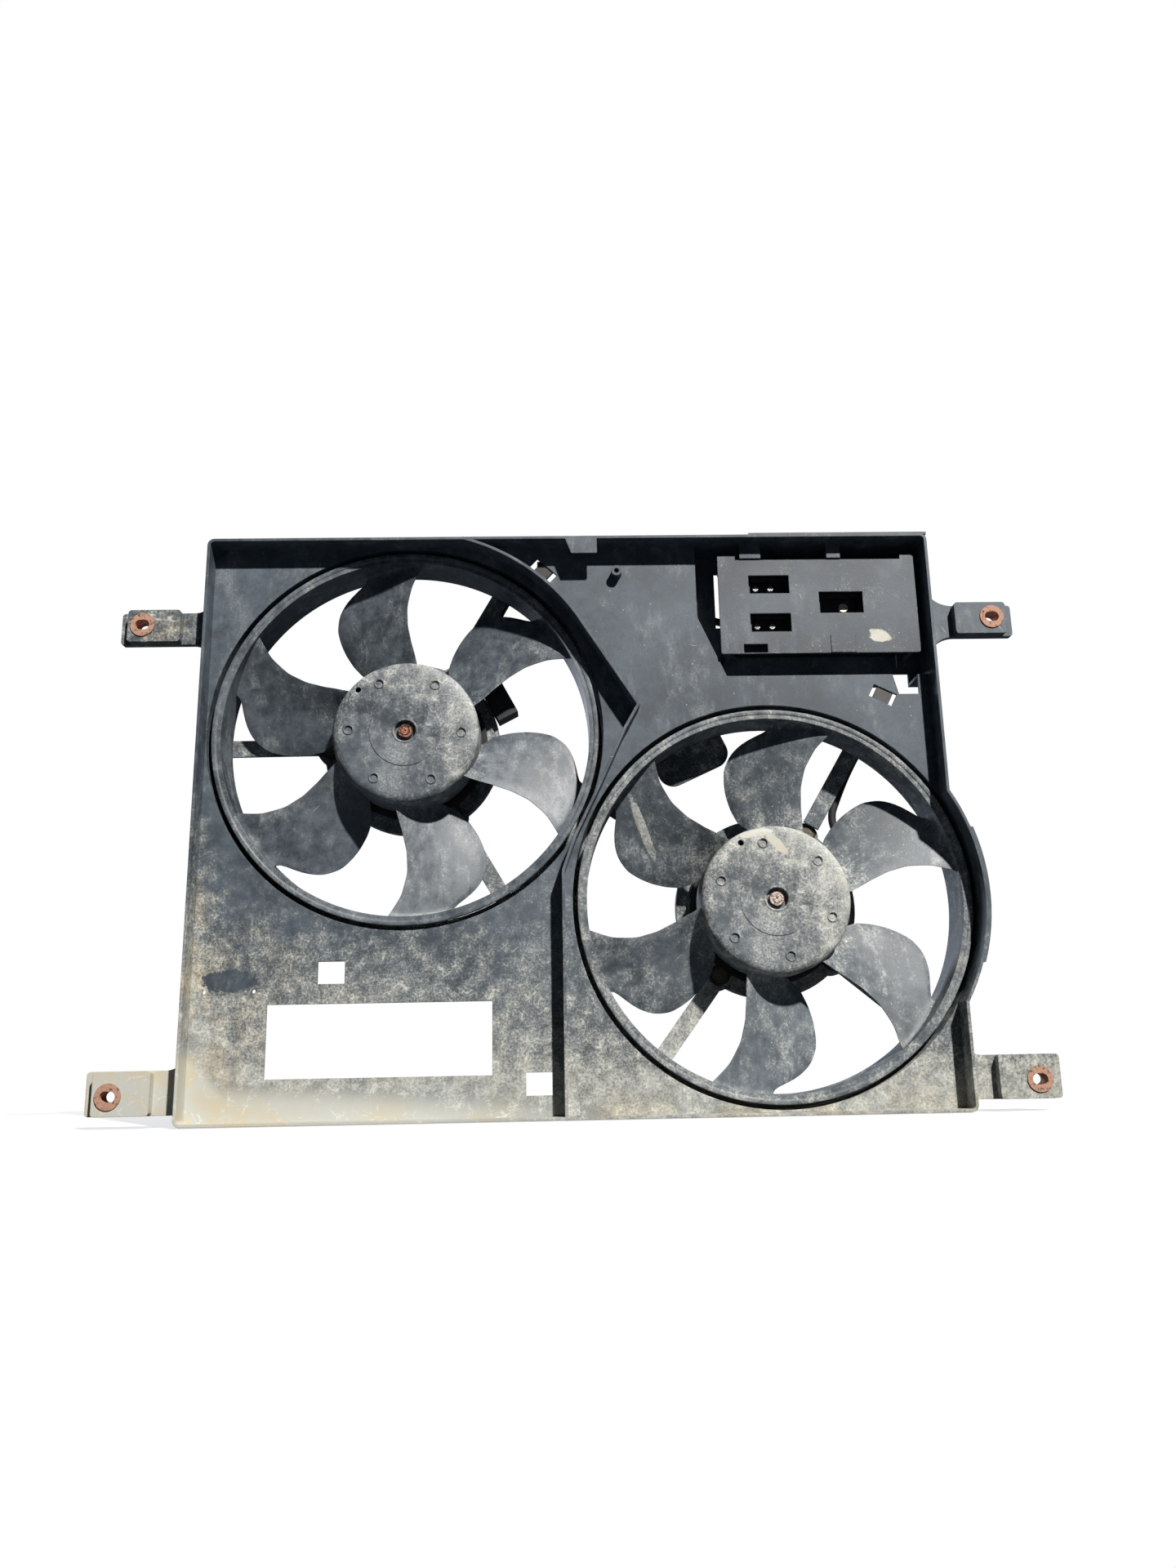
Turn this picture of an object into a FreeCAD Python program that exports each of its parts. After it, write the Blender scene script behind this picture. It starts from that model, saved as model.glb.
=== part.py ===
import FreeCAD, Part
import math
import os
import Sketcher

# Twin-fan radiator cooling module, millimetres, upright as it hangs in the vehicle.
# X runs across the module, +Y points from the radiator to the engine, Z is up. The origin is
# the middle of the four ear bolts, on the front faces of their bushes.

SIZES = {
    # tray
    "tray_width": 642, "tray_height": 503, "tray_depth": 20, "rim_ahead": 10,
    "wall": 2.5, "panel": 2.5, "corner": 6,
    # ears and their bushes
    "ear_spacing_x": 754, "ear_spacing_z": 402, "lower_ear_height": 24.6,
    "ear_end": 21, "ear_below": 15.5, "upper_ear_above": 14, "lower_ear_above": 20, "ear_base": 6,
    "ear_round": 14, "wide_ear_round": 25, "pad_lead": 1, "pad_start": 33, "pad_end": 13,
    "bush_radius": 10.5, "slot_width": 9, "slot_length": 12.5, "bush_fit": 0.05,
    # fan openings and the barrels behind them; a drop is measured down from the top edge
    "left_fan_x": -145.5, "left_fan_drop": 175.4, "right_fan_x": 170.4, "right_fan_height": 176.2,
    "opening_radius": 172.5, "barrel_wall": 2.5, "barrel_depth": 55, "bulge_extra": 2, "bulge_half": 57,
    "lip_gap": 1.5, "barrel_lip": 2.5,
    # motor arms, rings and bosses
    "left_arm_angle": 60.5, "left_arm_pitch": 120, "right_arm_angle": 59, "right_arm_pitch": 87,
    "arm_width": 15, "arm_plate": 3, "arm_web": 4, "arm_lead": 13, "arm_depth": 16, "arm_overlap": 3,
    "ring_radius": 80, "ring_bore": 58, "boss_circle": 74, "boss_radius": 13, "boss_step": 10,
    "boss_depth": 12, "boss_floor": 1.5,
    "harness_angle": 114.6, "harness_start": 132, "harness_half": 34, "harness_round": 14,
    # divider rib
    "rib": 2.5, "rib_arc_radius": 181.5,
    "rib_foot_x": -9.8, "rib_knee_height": 201, "rib_arc_angle": 29.7,
    # tabs at the walls, the bead of the top wall and its holes
    "upper_tab_right": 24.2, "upper_tab_left": 1.2, "upper_tab_flare": 6, "upper_tab_drop": 16.5,
    "lower_tab_x": 1.2, "lower_tab_width": 24, "lower_tab_rise": 18.5,
    "bead_x": 160.5, "bead_length": 160.5, "bead_rise": 1.5, "top_hole_radius": 1.25,
    "top_hole_pitch": 47.7, "top_hole_lead": 2,
    # windows, slots and holes of the panel: left edge or middle, height above the bottom edge, size
    "flap_x": -255.7, "flap_height": 35.9, "flap_width": 185.7, "flap_rise": 59.7,
    "left_hole_x": -214.9, "left_hole_height": 111.9, "left_hole_width": 22.5, "left_hole_rise": 18.4,
    "mid_hole_x": -42.4, "mid_hole_height": 19.1, "mid_hole_width": 21.4, "mid_hole_rise": 18.3,
    "rib_slot_x": -24, "rib_slot_drop": 24.6, "rib_slot_length": 24, "rib_slot_width": 10,
    "rib_slot_angle": -43, "rib_slot_plug": 14,
    "pinhole_left": -307.8, "pinhole_right": -266.9, "pinhole_height": 106.8, "pinhole_radius": 1.6,
    "locator_x": 41.8, "locator_drop": 28.7, "locator_radius": 4.8, "locator_bore": 2.2,
    "locator_length": 9,
    # module bay: its bottom and knee down from the top edge
    "bay_left": 113.8, "bay_knee_drop": 70.6, "bay_corner": 138.2, "bay_drop": 126.7, "bay_depth": 28,
    # openings of the bay: up or down from its bottom
    "bay_slot_x": 134.3, "bay_slot_height": 55.9, "bay_slot_width": 11.7, "bay_slot_rise": 53.4,
    "right_hole_x": 290.6, "right_hole_drop": 18.4, "right_hole_width": 18.1, "right_hole_rise": 28.1,
    "right_hole_flare": 4.4, "right_hole_step": 17.9,
    "right_slot_x": 276, "right_slot_drop": 19.4, "right_slot_length": 22, "right_slot_width": 12,
    "right_slot_angle": -27, "right_slot_plug": 15,
    # cover: up from the bay's bottom, and what is in it from its own lower left corner
    "cover_x": 133.3, "cover_height": 18.7, "cover_width": 178.5, "cover_rise": 94,
    "cover_plate": 2, "cover_lead": 6, "post_radius": 3, "post_inset": 7, "post_edge": 3.5,
    "upper_view_x": 27.4, "upper_view_height": 57.1, "upper_view_width": 36.5, "upper_view_rise": 17.3,
    "lower_view_x": 27.4, "lower_view_height": 20.6, "lower_view_width": 36.5, "lower_view_rise": 17.3,
    "wide_view_x": 90.3, "wide_view_height": 37.9, "wide_view_width": 39.5, "wide_view_rise": 20.3,
    "small_view_x": 20.3, "small_view_height": 0.9, "small_view_width": 21.3, "small_view_rise": 8.1,
    "cover_pad_x": 98.4, "cover_pad_edge": 0.4, "cover_pad_width": 22.3, "cover_pad_rise": 16.4,
    "cover_pad_lead": 0.7, "recess_x": 16.2, "recess_width": 150, "hook_notch": 4.5,
    "left_hook_x": 20.2, "left_hook_width": 19, "right_hook_x": 99.2, "right_hook_width": 12.5,
    "hook_lead": 1.5, "hook_plate": 3.5, "hook_reach": 15,
    # control module: up from the bay's bottom, and what is in it from its own lower left corner
    "module_x": 150, "module_height": 26.7, "module_width": 150, "module_rise": 79, "module_depth": 26,
    "module_round": 4, "socket_x": 80, "socket_height": 22, "socket_width": 60, "socket_rise": 25,
    "socket_depth": 27, "socket_wall": 2.5, "socket_floor": 4, "socket_gap": 1,
    "upper_well_x": 13, "upper_well_height": 51.3, "upper_well_width": 32, "upper_well_rise": 13,
    "lower_well_x": 13, "lower_well_height": 14.8, "lower_well_width": 32, "lower_well_rise": 13,
    "wide_well_x": 76, "wide_well_height": 32.1, "wide_well_width": 34.5, "wide_well_rise": 16,
    "well_depth": 9, "pin_radius": 2.6, "pin_length": 7, "pin_inset": 5.5, "pin_pitch": 13.5,
    "head_radius": 4.2, "head_height": 3, "head_inset": 22.5, "lone_head_x": 118,
    "lone_head_height": 9, "head_room": 0.5, "module_shank": 1.6,
    # rotor
    "hub_radius": 64, "hub_front": 4, "hub_depth": 40, "hub_wall": 2.5, "hub_round": 8,
    "disc_radius": 31, "disc_lead": 0.5, "recess_radius": 9, "recess_depth": 4, "hub_boss": 15,
    "hub_boss_depth": 4.5, "dimple_circle": 49, "dimple_radius": 2.5, "dimple_depth": 0.6,
    "dimple_angle": 32.7, "drain_circle": 56, "drain_radius": 2, "drain_angle": 112.2,
    "band_radius": 168.5, "band_bore": 160.5, "band_wall": 2.5, "band_front": 10, "band_depth": 40,
    "lip_plate": 2.5, "blade_thickness": 2.6, "blade_front": 14, "blade_rake": 28,
    "blade_camber": 2.2, "left_turn": 25.4, "right_turn": 8.2,
    # motor
    "shaft_radius": 4, "shaft_front": 4.5, "running_fit": 0.05, "insert_radius": 6.5,
    "insert_lead": 2.5, "ring_clip_radius": 5.8, "ring_clip_plate": 0.8,
    "can_radius": 50, "can_wall": 3, "can_front": 16, "can_length": 62, "bead_radius": 53,
    "bead_width": 3, "nose_radius": 14, "nose_lead": 4, "bearing_radius": 11, "bearing_width": 7,
    "cap_plate": 3, "cap_boss": 10, "bracket_plate": 2.5, "lug_radius": 9,
    "isolator_height": 4, "screw_radius": 3, "screw_fit": 0.05, "washer_radius": 7, "washer": 1.5,
    "screw_head_radius": 5, "screw_head": 3,
    "air_gap": 1.2, "magnet_wall": 7, "magnet_length": 38, "magnet_set": 12, "magnet_span": 74,
    "magnet_start": 8, "brush_angle": 45, "brush_half": 3, "press_gap": 0.02,
    "core_set": 16, "core_length": 30, "winding_height": 7, "winding_radius": 33,
    "commutator_radius": 12, "commutator_length": 9, "brush_plate": 2.5, "brush_plate_bore": 17,
    "brush_width": 4.5, "brush_length": 14, "brush_fit": 0.1,
    "plug_half": 17, "plug_length": 19.7, "plug_depth": 18, "plug_swing": 32.5, "plug_gap": 0.3,
    "plug_step": 1,
    # leads and what carries them along the back
    "lead_radius": 3.5, "lead_gap": 0.3, "lead_room": 0.8, "clip_half": 3.5, "clip_fit": 0.1,
    "clip_sink": 1, "clip_plate": 2, "clip_reach": 12,
}

doc = FreeCAD.newDocument("radiator_fan")
sheet = doc.addObject("Spreadsheet::Sheet", "sizes")
for row, (alias, number) in enumerate(SIZES.items(), start=1):
    sheet.set(f"A{row}", alias)
    sheet.set(f"B{row}", str(number))
    sheet.setAlias(f"B{row}", alias)
doc.recompute()


class Size:
    """A number together with the sheet expression that it comes from."""

    def __init__(self, number, text=None):
        self.number = float(number)
        self.text = text or (f"({self.number:.6g})")

    def __float__(self):
        return self.number

    def __neg__(self):
        return Size(-self.number, f"(0 - {self.text})")

    def __add__(self, other):
        other = size(other)
        return Size(self.number + other.number, f"({self.text} + {other.text})")

    def __sub__(self, other):
        other = size(other)
        return Size(self.number - other.number, f"({self.text} - {other.text})")

    def __mul__(self, other):
        other = size(other)
        return Size(self.number * other.number, f"({self.text} * {other.text})")

    def __truediv__(self, other):
        other = size(other)
        return Size(self.number / other.number, f"({self.text} / {other.text})")

    def __radd__(self, other):
        return size(other) + self

    def __rsub__(self, other):
        return size(other) - self

    def __rmul__(self, other):
        return size(other) * self


def size(value):
    """A sheet value by its alias, or a plain number, as a Size."""
    if isinstance(value, Size):
        return value
    if isinstance(value, str):
        return Size(sheet.get(value), f"{sheet.Name}.{value}")
    return Size(value)


def cosine(angle):
    angle = size(angle)
    return Size(math.cos(math.radians(angle.number)), f"cos({angle.text} * 1 deg)")


def sine(angle):
    angle = size(angle)
    return Size(math.sin(math.radians(angle.number)), f"sin({angle.text} * 1 deg)")


def bind(item, path, value):
    item.setExpression(path, size(value).text)


def place(item, x=0, y=0, z=0):
    for axis, value in zip("xyz", (x, y, z)):
        bind(item, f"Placement.Base.{axis}", value)
    return item


FACING_BACK = FreeCAD.Rotation(FreeCAD.Vector(1, 0, 0), -90)
UPRIGHT = FreeCAD.Rotation(FreeCAD.Vector(1, 0, 0), 90)
nodes = []


def node(item, label):
    """Marks an object as a finished sub-part and gives it its file's name."""
    item.Label = label
    nodes.append(item)
    return item


def box(name, x, y, z, across, deep, up):
    item = doc.addObject("Part::Box", name)
    bind(item, "Length", across)
    bind(item, "Width", deep)
    bind(item, "Height", up)
    return place(item, x, y, z)


def disc(name, x, y, z, radius, deep):
    """A cylinder along Y that starts at y and runs back."""
    item = doc.addObject("Part::Cylinder", name)
    item.Placement.Rotation = FACING_BACK
    bind(item, "Radius", radius)
    bind(item, "Height", deep)
    return place(item, x, y, z)


def fuse(name, items):
    item = doc.addObject("Part::MultiFuse", name)
    item.Shapes = items
    return item


def cut(name, base, tools):
    item = doc.addObject("Part::Cut", name)
    item.Base = base
    item.Tool = tools[0] if len(tools) == 1 else fuse(f"{name}_tools", tools)
    return item


def common(name, base, tool):
    item = doc.addObject("Part::Common", name)
    item.Base = base
    item.Tool = tool
    return item


def group(name, items):
    """Separate solids that share one node."""
    item = doc.addObject("Part::Compound", name)
    item.Links = items
    return item


def round_corners(name, base, radius):
    """Rounds the four edges of a box that run along Y."""
    doc.recompute()
    item = doc.addObject("Part::Fillet", name)
    item.Base = base
    item.Edges = [
        (index, radius, radius)
        for index, edge in enumerate(base.Shape.Edges, start=1)
        if abs(edge.tangentAt(edge.FirstParameter).y) > 0.99
    ]
    return item


def outline(sketch, points):
    """Draws a closed polygon whose corners stay at the given sizes."""
    count = len(points)
    points = [(size(x), size(z)) for x, z in points]
    corners = [FreeCAD.Vector(float(x), float(z), 0) for x, z in points]
    for index in range(count):
        sketch.addGeometry(Part.LineSegment(corners[index], corners[(index + 1) % count]), False)
    for index in range(count):
        sketch.addConstraint(Sketcher.Constraint("Coincident", index, 2, (index + 1) % count, 1))
    for index, (x, z) in enumerate(points):
        for kind, value in (("DistanceX", x), ("DistanceY", z)):
            made = sketch.addConstraint(Sketcher.Constraint(kind, -1, 1, index, 1, float(value)))
            bind(sketch, f"Constraints[{made}]", value)


def prism(name, points, y, deep):
    """A polygon in the X-Z plane, carried back from y by deep."""
    sketch = doc.addObject("Sketcher::SketchObject", f"{name}_outline")
    sketch.Placement.Rotation = UPRIGHT
    place(sketch, 0, y, 0)
    outline(sketch, points)
    item = doc.addObject("Part::Extrusion", name)
    item.Base = sketch
    item.DirMode = "Custom"
    item.Dir = FreeCAD.Vector(0, 1, 0)
    item.Solid = True
    bind(item, "LengthFwd", deep)
    return item


def polar(centre, radius, angle, side=0):
    """A point at a radius and angle about a centre, moved sideways by side."""
    x, z = centre
    along, across = cosine(angle), sine(angle)
    return (
        x + size(radius) * along - size(side) * across,
        z + size(radius) * across + size(side) * along,
    )


def bar(name, centre, angle, start, end, side, reach, y, deep):
    """A straight bar along a radius of the fan, its middle moved sideways by side."""
    side, reach = size(side), size(reach)
    points = [
        polar(centre, start, angle, side - reach), polar(centre, end, angle, side - reach),
        polar(centre, end, angle, side + reach), polar(centre, start, angle, side + reach),
    ]
    return prism(name, points, y, deep)


def turned(label, profile):
    """A body turned about the Y axis from a closed profile of (y, radius) corners."""
    body = doc.addObject("PartDesign::Body", label)
    sketch = body.newObject("Sketcher::SketchObject", f"{label}_profile")
    planes = [item for item in body.Origin.OriginFeatures if item.Role == "YZ_Plane"]
    sketch.AttachmentSupport = [(planes[0], "")]
    sketch.MapMode = "FlatFace"
    outline(sketch, profile)
    turn = body.newObject("PartDesign::Revolution", f"{label}_turn")
    turn.Profile = sketch
    turn.ReferenceAxis = (sketch, ["H_Axis"])
    turn.Angle = 360
    return body


# Planes that several pieces share.
rim_front = -size("rim_ahead")
panel_front = size("tray_depth") - "rim_ahead"
panel_back = panel_front + "panel"
bottom = -(size("lower_ear_height") + size("ear_spacing_z") / 2)
top = bottom + "tray_height"
half = size("tray_width") / 2
barrel_back = panel_front + "barrel_depth"
arm_front = barrel_back - "arm_lead"
bay_floor = panel_front + "bay_depth"
cover_front = panel_front - "cover_lead"
wall = size("wall")
# Tools reach this far past the faces that they cut.
past = 1
lead_y = arm_front + "arm_plate" + "lead_radius" + "lead_gap"
lead_side = -(size("arm_web") / 2 + "lead_radius" + "lead_gap")


def height(value):
    """A height above the bottom edge, as a Z value."""
    return bottom + value


FANS = {
    "left": (size("left_fan_x"), top - "left_fan_drop"),
    "right": (size("right_fan_x"), height("right_fan_height")),
}
# The left motor hangs on three arms and the right one on four.
ARM_COUNTS = {"left": 3, "right": 4}
ARM_ANGLES = {side: [size(f"{side}_arm_angle") + size(f"{side}_arm_pitch") * index
                     for index in range(count)] for side, count in ARM_COUNTS.items()}
bay_low = top - "bay_drop"
# Corners that openings are measured from; across the tray and the bay it is the tray's middle.
TRAY_CORNER = (size(0), bottom)
BAY_CORNER = (size(0), bay_low)
COVER_CORNER = (size("cover_x"), bay_low + "cover_height")
MODULE_CORNER = (size("module_x"), bay_low + "module_height")
SOCKET_CORNER = (MODULE_CORNER[0] + "socket_x", MODULE_CORNER[1] + "socket_height")
SLOT_MIDDLES = {"rib_slot": (size("rib_slot_x"), top - "rib_slot_drop"),
                "right_slot": (size("right_slot_x"), bay_low - "right_slot_drop")}


# Shroud: one moulding of glass-filled nylon.

def window(name, corner, y, deep):
    """A rectangular tool with the sheet's sizes of this name, measured from a corner."""
    x, z = corner
    return box(f"{name}_tool", x + f"{name}_x", y, z + f"{name}_height", f"{name}_width", deep,
               f"{name}_rise")


def slanted_slot(name, y, deep):
    """A straight-sided slot about its middle, turned by its angle."""
    reach = size(f"{name}_length") / 2
    return bar(f"{name}_tool", SLOT_MIDDLES[name], f"{name}_angle", -reach, reach, 0,
               size(f"{name}_width") / 2, y, deep)


def right_hole(y, deep):
    """The opening below the module: a rectangle that widens to the left in its upper part."""
    x, z = size("right_hole_x"), bay_low - "right_hole_drop"
    right, upper = x + "right_hole_width", z + "right_hole_rise"
    flared = x - "right_hole_flare"
    points = [(x, z), (right, z), (right, upper), (flared, upper), (flared, z + "right_hole_step")]
    return prism("right_hole_tool", points, y, deep)


def ear(side, level):
    """One mounting ear: a base plate flush with the panel and a raised pad in front of it."""
    name = f"{level}_{'left' if side < 0 else 'right'}_ear"
    middle = size("ear_spacing_z") / 2 * (1 if level == "upper" else -1)
    low = middle - "ear_below"
    tall = size("ear_below") + f"{level}_ear_above"
    centre = size("ear_spacing_x") / 2
    spans = {
        "base": (half - wall, centre + "ear_end", panel_front, size("ear_base")),
        "pad": (centre - "pad_start", centre + "pad_end", size("pad_lead"), panel_front - "pad_lead"),
    }
    pieces = []
    for part, (inner, outer, y, deep) in spans.items():
        left = inner if side > 0 else -outer
        block = box(f"{name}_{part}_block", left, y, low, outer - inner, deep, tall)
        pieces.append(round_corners(f"{name}_{part}", block, 3))
    # The ear runs into the tray wall in a hollow round above it, and below it on the upper pair.
    reach = size("wide_ear_round" if side > 0 and level == "upper" else "ear_round")
    foot = half - 1
    for edge, way in ((low + tall, 1), (low, -1)):
        if way < 0 and level == "lower":
            continue
        left = foot if side > 0 else -foot - reach
        block = box(f"{name}_web{way}", left, panel_front, edge if way > 0 else edge - reach,
                    reach, "ear_base", reach)
        hollow = disc(f"{name}_hollow{way}", (foot + reach) * side, panel_front - 1,
                      edge + reach * way, reach, size("ear_base") + 2)
        pieces.append(cut(f"{name}_round{way}", block, [hollow]))
    return pieces


def bush_hole(side, level, radius, y, deep):
    middle = size("ear_spacing_z") / 2 * (1 if level == "upper" else -1)
    return disc(f"bush_seat_{level}{side}", size("ear_spacing_x") / 2 * side, y, middle, radius, deep)


EARS = [(side, level) for side in (-1, 1) for level in ("upper", "lower")]


# Bends of the divider rib between the fans: right of its foot, and height above the bottom edge.
RIB_BENDS = [(10, 229.5), (32, 274.5), (55, 324.5), (67, 345.5)]


def rib_path():
    """The divider rib's middle line, from the bottom wall to the top wall."""
    left_x, left_z = (float(value) for value in FANS["left"])
    radius = float(size("rib_arc_radius"))

    def point(x, z):
        return FreeCAD.Vector(x, 0, float(height(z)))

    def on_arc(angle):
        turn = math.radians(angle)
        return FreeCAD.Vector(left_x + radius * math.cos(turn), 0, left_z + radius * math.sin(turn))

    foot, first = float(size("rib_foot_x")), float(size("rib_arc_angle"))
    last = math.degrees(math.asin((float(top) - past - left_z) / radius))
    # Up beside the right fan, then slanting between the two fans to the arc round the left one.
    straight = [point(foot, past), point(foot, float(size("rib_knee_height")))]
    straight += [point(foot + x, z) for x, z in RIB_BENDS] + [on_arc(first)]
    edges = [Part.LineSegment(a, b).toShape() for a, b in zip(straight, straight[1:])]
    edges.append(Part.Arc(on_arc(first), on_arc((first + last) / 2), on_arc(last)).toShape())
    return Part.Wire(edges)


def divider_rib():
    ribbon = rib_path().makeOffset2D(float(size("rib")) / 2, 2, False, False, False)
    item = doc.addObject("Part::Feature", "divider_rib")
    item.Shape = Part.Face(ribbon).extrude(FreeCAD.Vector(0, float(size("tray_depth")) + 1, 0))
    return place(item, 0, rim_front, 0)


def bay(grow, y, deep, name):
    """The module bay in the upper right corner, grown outwards by grow."""
    grow = size(grow)
    right, upper = half - wall + grow, top - wall + grow
    low = bay_low - grow
    points = [
        (size("bay_left") - grow, upper), (size("bay_left") - grow, top - "bay_knee_drop" - grow / 4),
        (size("bay_corner") - grow / 2, low), (right, low), (right, upper),
    ]
    return prism(name, points, y, deep)


def post_places():
    left, lower = COVER_CORNER
    for x in (left + "post_inset", left + "cover_width" - "post_inset"):
        low = lower + "post_edge"
        yield x, low
        yield x, low + "cover_rise" - size("post_edge") * 2


def motor_mount(side):
    """Barrel with its rear lip, the arms, the ring behind the motor flange and its bosses."""
    x, z = FANS[side]
    centre = FANS[side]
    outside = size("opening_radius") + "barrel_wall"
    pieces = [disc(f"{side}_barrel", x, panel_front, z, outside, "barrel_depth")]
    ring_front = arm_front + "boss_step"
    hollow = [disc(f"{side}_opening", x, panel_front - past, z, "opening_radius",
                   size("barrel_depth") + past * 2)]
    holders = [disc(f"{side}_ring", x, ring_front, z, "ring_radius", "boss_depth")]
    holes = [disc(f"{side}_ring_bore", x, ring_front - 1, z, "ring_bore", size("boss_depth") + 2)]
    lip_front = size("band_front") + "band_depth" + "lip_gap"
    lip = disc(f"{side}_lip_plate", x, lip_front, z, size("opening_radius") + past, "barrel_lip")
    lip_bore = disc(f"{side}_lip_bore", x, lip_front - past, z, size("band_bore") + "band_wall",
                    size("barrel_lip") + past * 2)
    holders.append(cut(f"{side}_lip", lip, [lip_bore]))
    for arm, angle in enumerate(ARM_ANGLES[side]):
        tag = f"{side}_arm{arm}"
        start = size("boss_circle") + "boss_radius" - "arm_overlap"
        end = size("opening_radius") + past
        for part, width, deep in (("plate", "arm_width", "arm_plate"), ("web", "arm_web", "arm_depth")):
            holders.append(bar(f"{tag}_{part}", centre, angle, start, end, 0, size(width) / 2,
                               arm_front, deep))
        boss_x, boss_z = polar(centre, "boss_circle", angle)
        holders.append(disc(f"{tag}_boss", boss_x, ring_front, boss_z, "boss_radius", "boss_depth"))
        holes.append(disc(f"{tag}_screw_hole", boss_x, ring_front - 1, boss_z,
                          size("screw_radius") + "screw_fit", size("boss_depth") - "boss_floor" + 1))
    notch_half = size("lead_radius") + "lead_room"
    hollow.append(bar(f"{side}_lead_notch", centre, ARM_ANGLES[side][0],
                      size("opening_radius") - past, outside + past, lead_side, notch_half,
                      arm_front + "arm_plate", "arm_depth"))
    if side == "right":
        holders.append(harness_plate(centre))
    return pieces, hollow, holders, holes


def harness_plate(centre):
    """The flat plate with round corners that carries the harness inside the right barrel."""
    angle, start = size("harness_angle"), size("harness_start")
    corner = size("harness_round")
    end = size("opening_radius") + 1
    middle = size("harness_half") - corner
    parts = [
        bar("harness_middle", centre, angle, start, end, 0, middle, arm_front, "arm_plate"),
        bar("harness_wide", centre, angle, start + corner, end - 4, 0, "harness_half", arm_front,
            "arm_plate"),
    ]
    for way in (-1, 1):
        x, z = polar(centre, start + corner, angle, middle * way)
        parts.append(disc(f"harness_corner{way}", x, arm_front, z, corner, "arm_plate"))
    return fuse("harness_plate", parts)


def shroud():
    block = box("tray_block", -half, rim_front, bottom, "tray_width", size("tray_depth") + "panel",
                "tray_height")
    solid = [round_corners("tray_outside", block, float(size("corner")))]
    # The tray wall bulges round the right fan.
    right_x, right_z = FANS["right"]
    outside = size("opening_radius") + "barrel_wall"
    deep = size("tray_depth") + "panel"
    wide = box("bulge_room", half - wall, rim_front, right_z - outside, outside, deep, outside * 2)
    solid.append(common("bulge", disc("bulge_disc", right_x, rim_front, right_z, outside, deep), wide))
    thick = box("bulge_pad_room", half, rim_front, right_z - "bulge_half", outside, deep,
                size("bulge_half") * 2)
    solid.append(common("bulge_pad", disc("bulge_pad_disc", right_x, rim_front, right_z,
                                          outside + "bulge_extra", deep), thick))
    mounts = {side: motor_mount(side) for side in FANS}
    for barrel, _, _, _ in mounts.values():
        solid += barrel
    solid.append(bay(wall, panel_front, size("bay_depth") + wall, "bay_outside"))
    for side, level in EARS:
        solid += ear(side, level)

    inner = box("tray_room_block", -half + wall, rim_front - 1, bottom + wall,
                size("tray_width") - wall * 2, size("tray_depth") + 1,
                size("tray_height") - wall * 2)
    away = [
        round_corners("tray_room", inner, float(size("corner") - wall)),
        bay(0, panel_front - 1, size("bay_depth") + 1, "bay_inside"),
        disc("bulge_room_front", right_x, rim_front - 1, right_z, "opening_radius",
             size("tray_depth") + 2),
    ]
    for _, hollow, _, _ in mounts.values():
        away += hollow
    away += windows()
    for side, level in EARS:
        away.append(bush_hole(side, level, size("bush_radius") + "bush_fit", size("pad_lead") - 1, 30))
    shell = cut("shroud_shell", fuse("shroud_mass", solid), away)

    # What stands inside the hollows: rib, tabs, posts, locator, arms, rings and bosses.
    tab_low = top - "upper_tab_drop"
    upper_tab = [("upper_tab_left", tab_low), ("upper_tab_right", tab_low),
                 ("upper_tab_right", top - past),
                 (size("upper_tab_left") - "upper_tab_flare", top - past)]
    extras = [
        divider_rib(),
        prism("upper_tab", upper_tab, rim_front, wall),
        box("lower_tab", "lower_tab_x", rim_front, bottom + past, "lower_tab_width", wall,
            size("lower_tab_rise") - past),
        box("flange_bead", "bead_x", rim_front, top - past, "bead_length", "tray_depth",
            size("bead_rise") + past),
        disc("locator_boss", "locator_x", panel_front - "locator_length", top - "locator_drop",
             "locator_radius", size("locator_length") + 1),
    ]
    for index, (x, z) in enumerate(post_places()):
        y = cover_front + "cover_plate"
        extras.append(disc(f"cover_post{index}", x, y, z, "post_radius", bay_floor + 1 - y))
    for side in FANS:
        extras.append(box(f"{side}_cover_hook", COVER_CORNER[0] + f"{side}_hook_x",
                          cover_front - "hook_lead", top - wall - "hook_reach",
                          f"{side}_hook_width", "hook_plate", size("hook_reach") + past))
    extras += lead_posts()
    for _, _, holders, _ in mounts.values():
        extras += holders
    bores = [disc("locator_bore", "locator_x", panel_front - "locator_length" - 1,
                  top - "locator_drop", "locator_bore", size("locator_length") + 1)]
    for _, _, _, holes in mounts.values():
        bores += holes
    whole = cut("shroud_body", fuse("shroud_with_fittings", [shell] + extras), bores)
    return node(whole, "shroud")


def windows():
    """Every window, slot and hole of the panel and of the bay floor."""
    y = panel_front - past
    through = size("panel") + past * 2
    tools = [window(name, TRAY_CORNER, y, through) for name in ("flap", "left_hole", "mid_hole")]
    tools += [slanted_slot(name, y, through) for name in SLOT_MIDDLES]
    tools.append(right_hole(y, size("bay_depth") + wall + past * 2))
    for name in ("pinhole_left", "pinhole_right"):
        tools.append(disc(f"{name}_tool", name, y, height("pinhole_height"), "pinhole_radius", through))
    tools.append(window("bay_slot", BAY_CORNER, bay_floor - past, through))
    gap = size("socket_gap")
    x, z = SOCKET_CORNER
    tools.append(box("socket_window", x - gap, bay_floor - past, z - gap,
                     size("socket_width") + gap * 2, through, size("socket_rise") + gap * 2))
    for index in range(4):
        drill = doc.addObject("Part::Cylinder", f"top_wall_hole{index}")
        bind(drill, "Radius", "top_hole_radius")
        bind(drill, "Height", wall * 3)
        x = size("bead_x") + "top_hole_lead" + size("top_hole_pitch") * index
        tools.append(place(drill, x, 0, top - wall * 2))
    return tools


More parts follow.
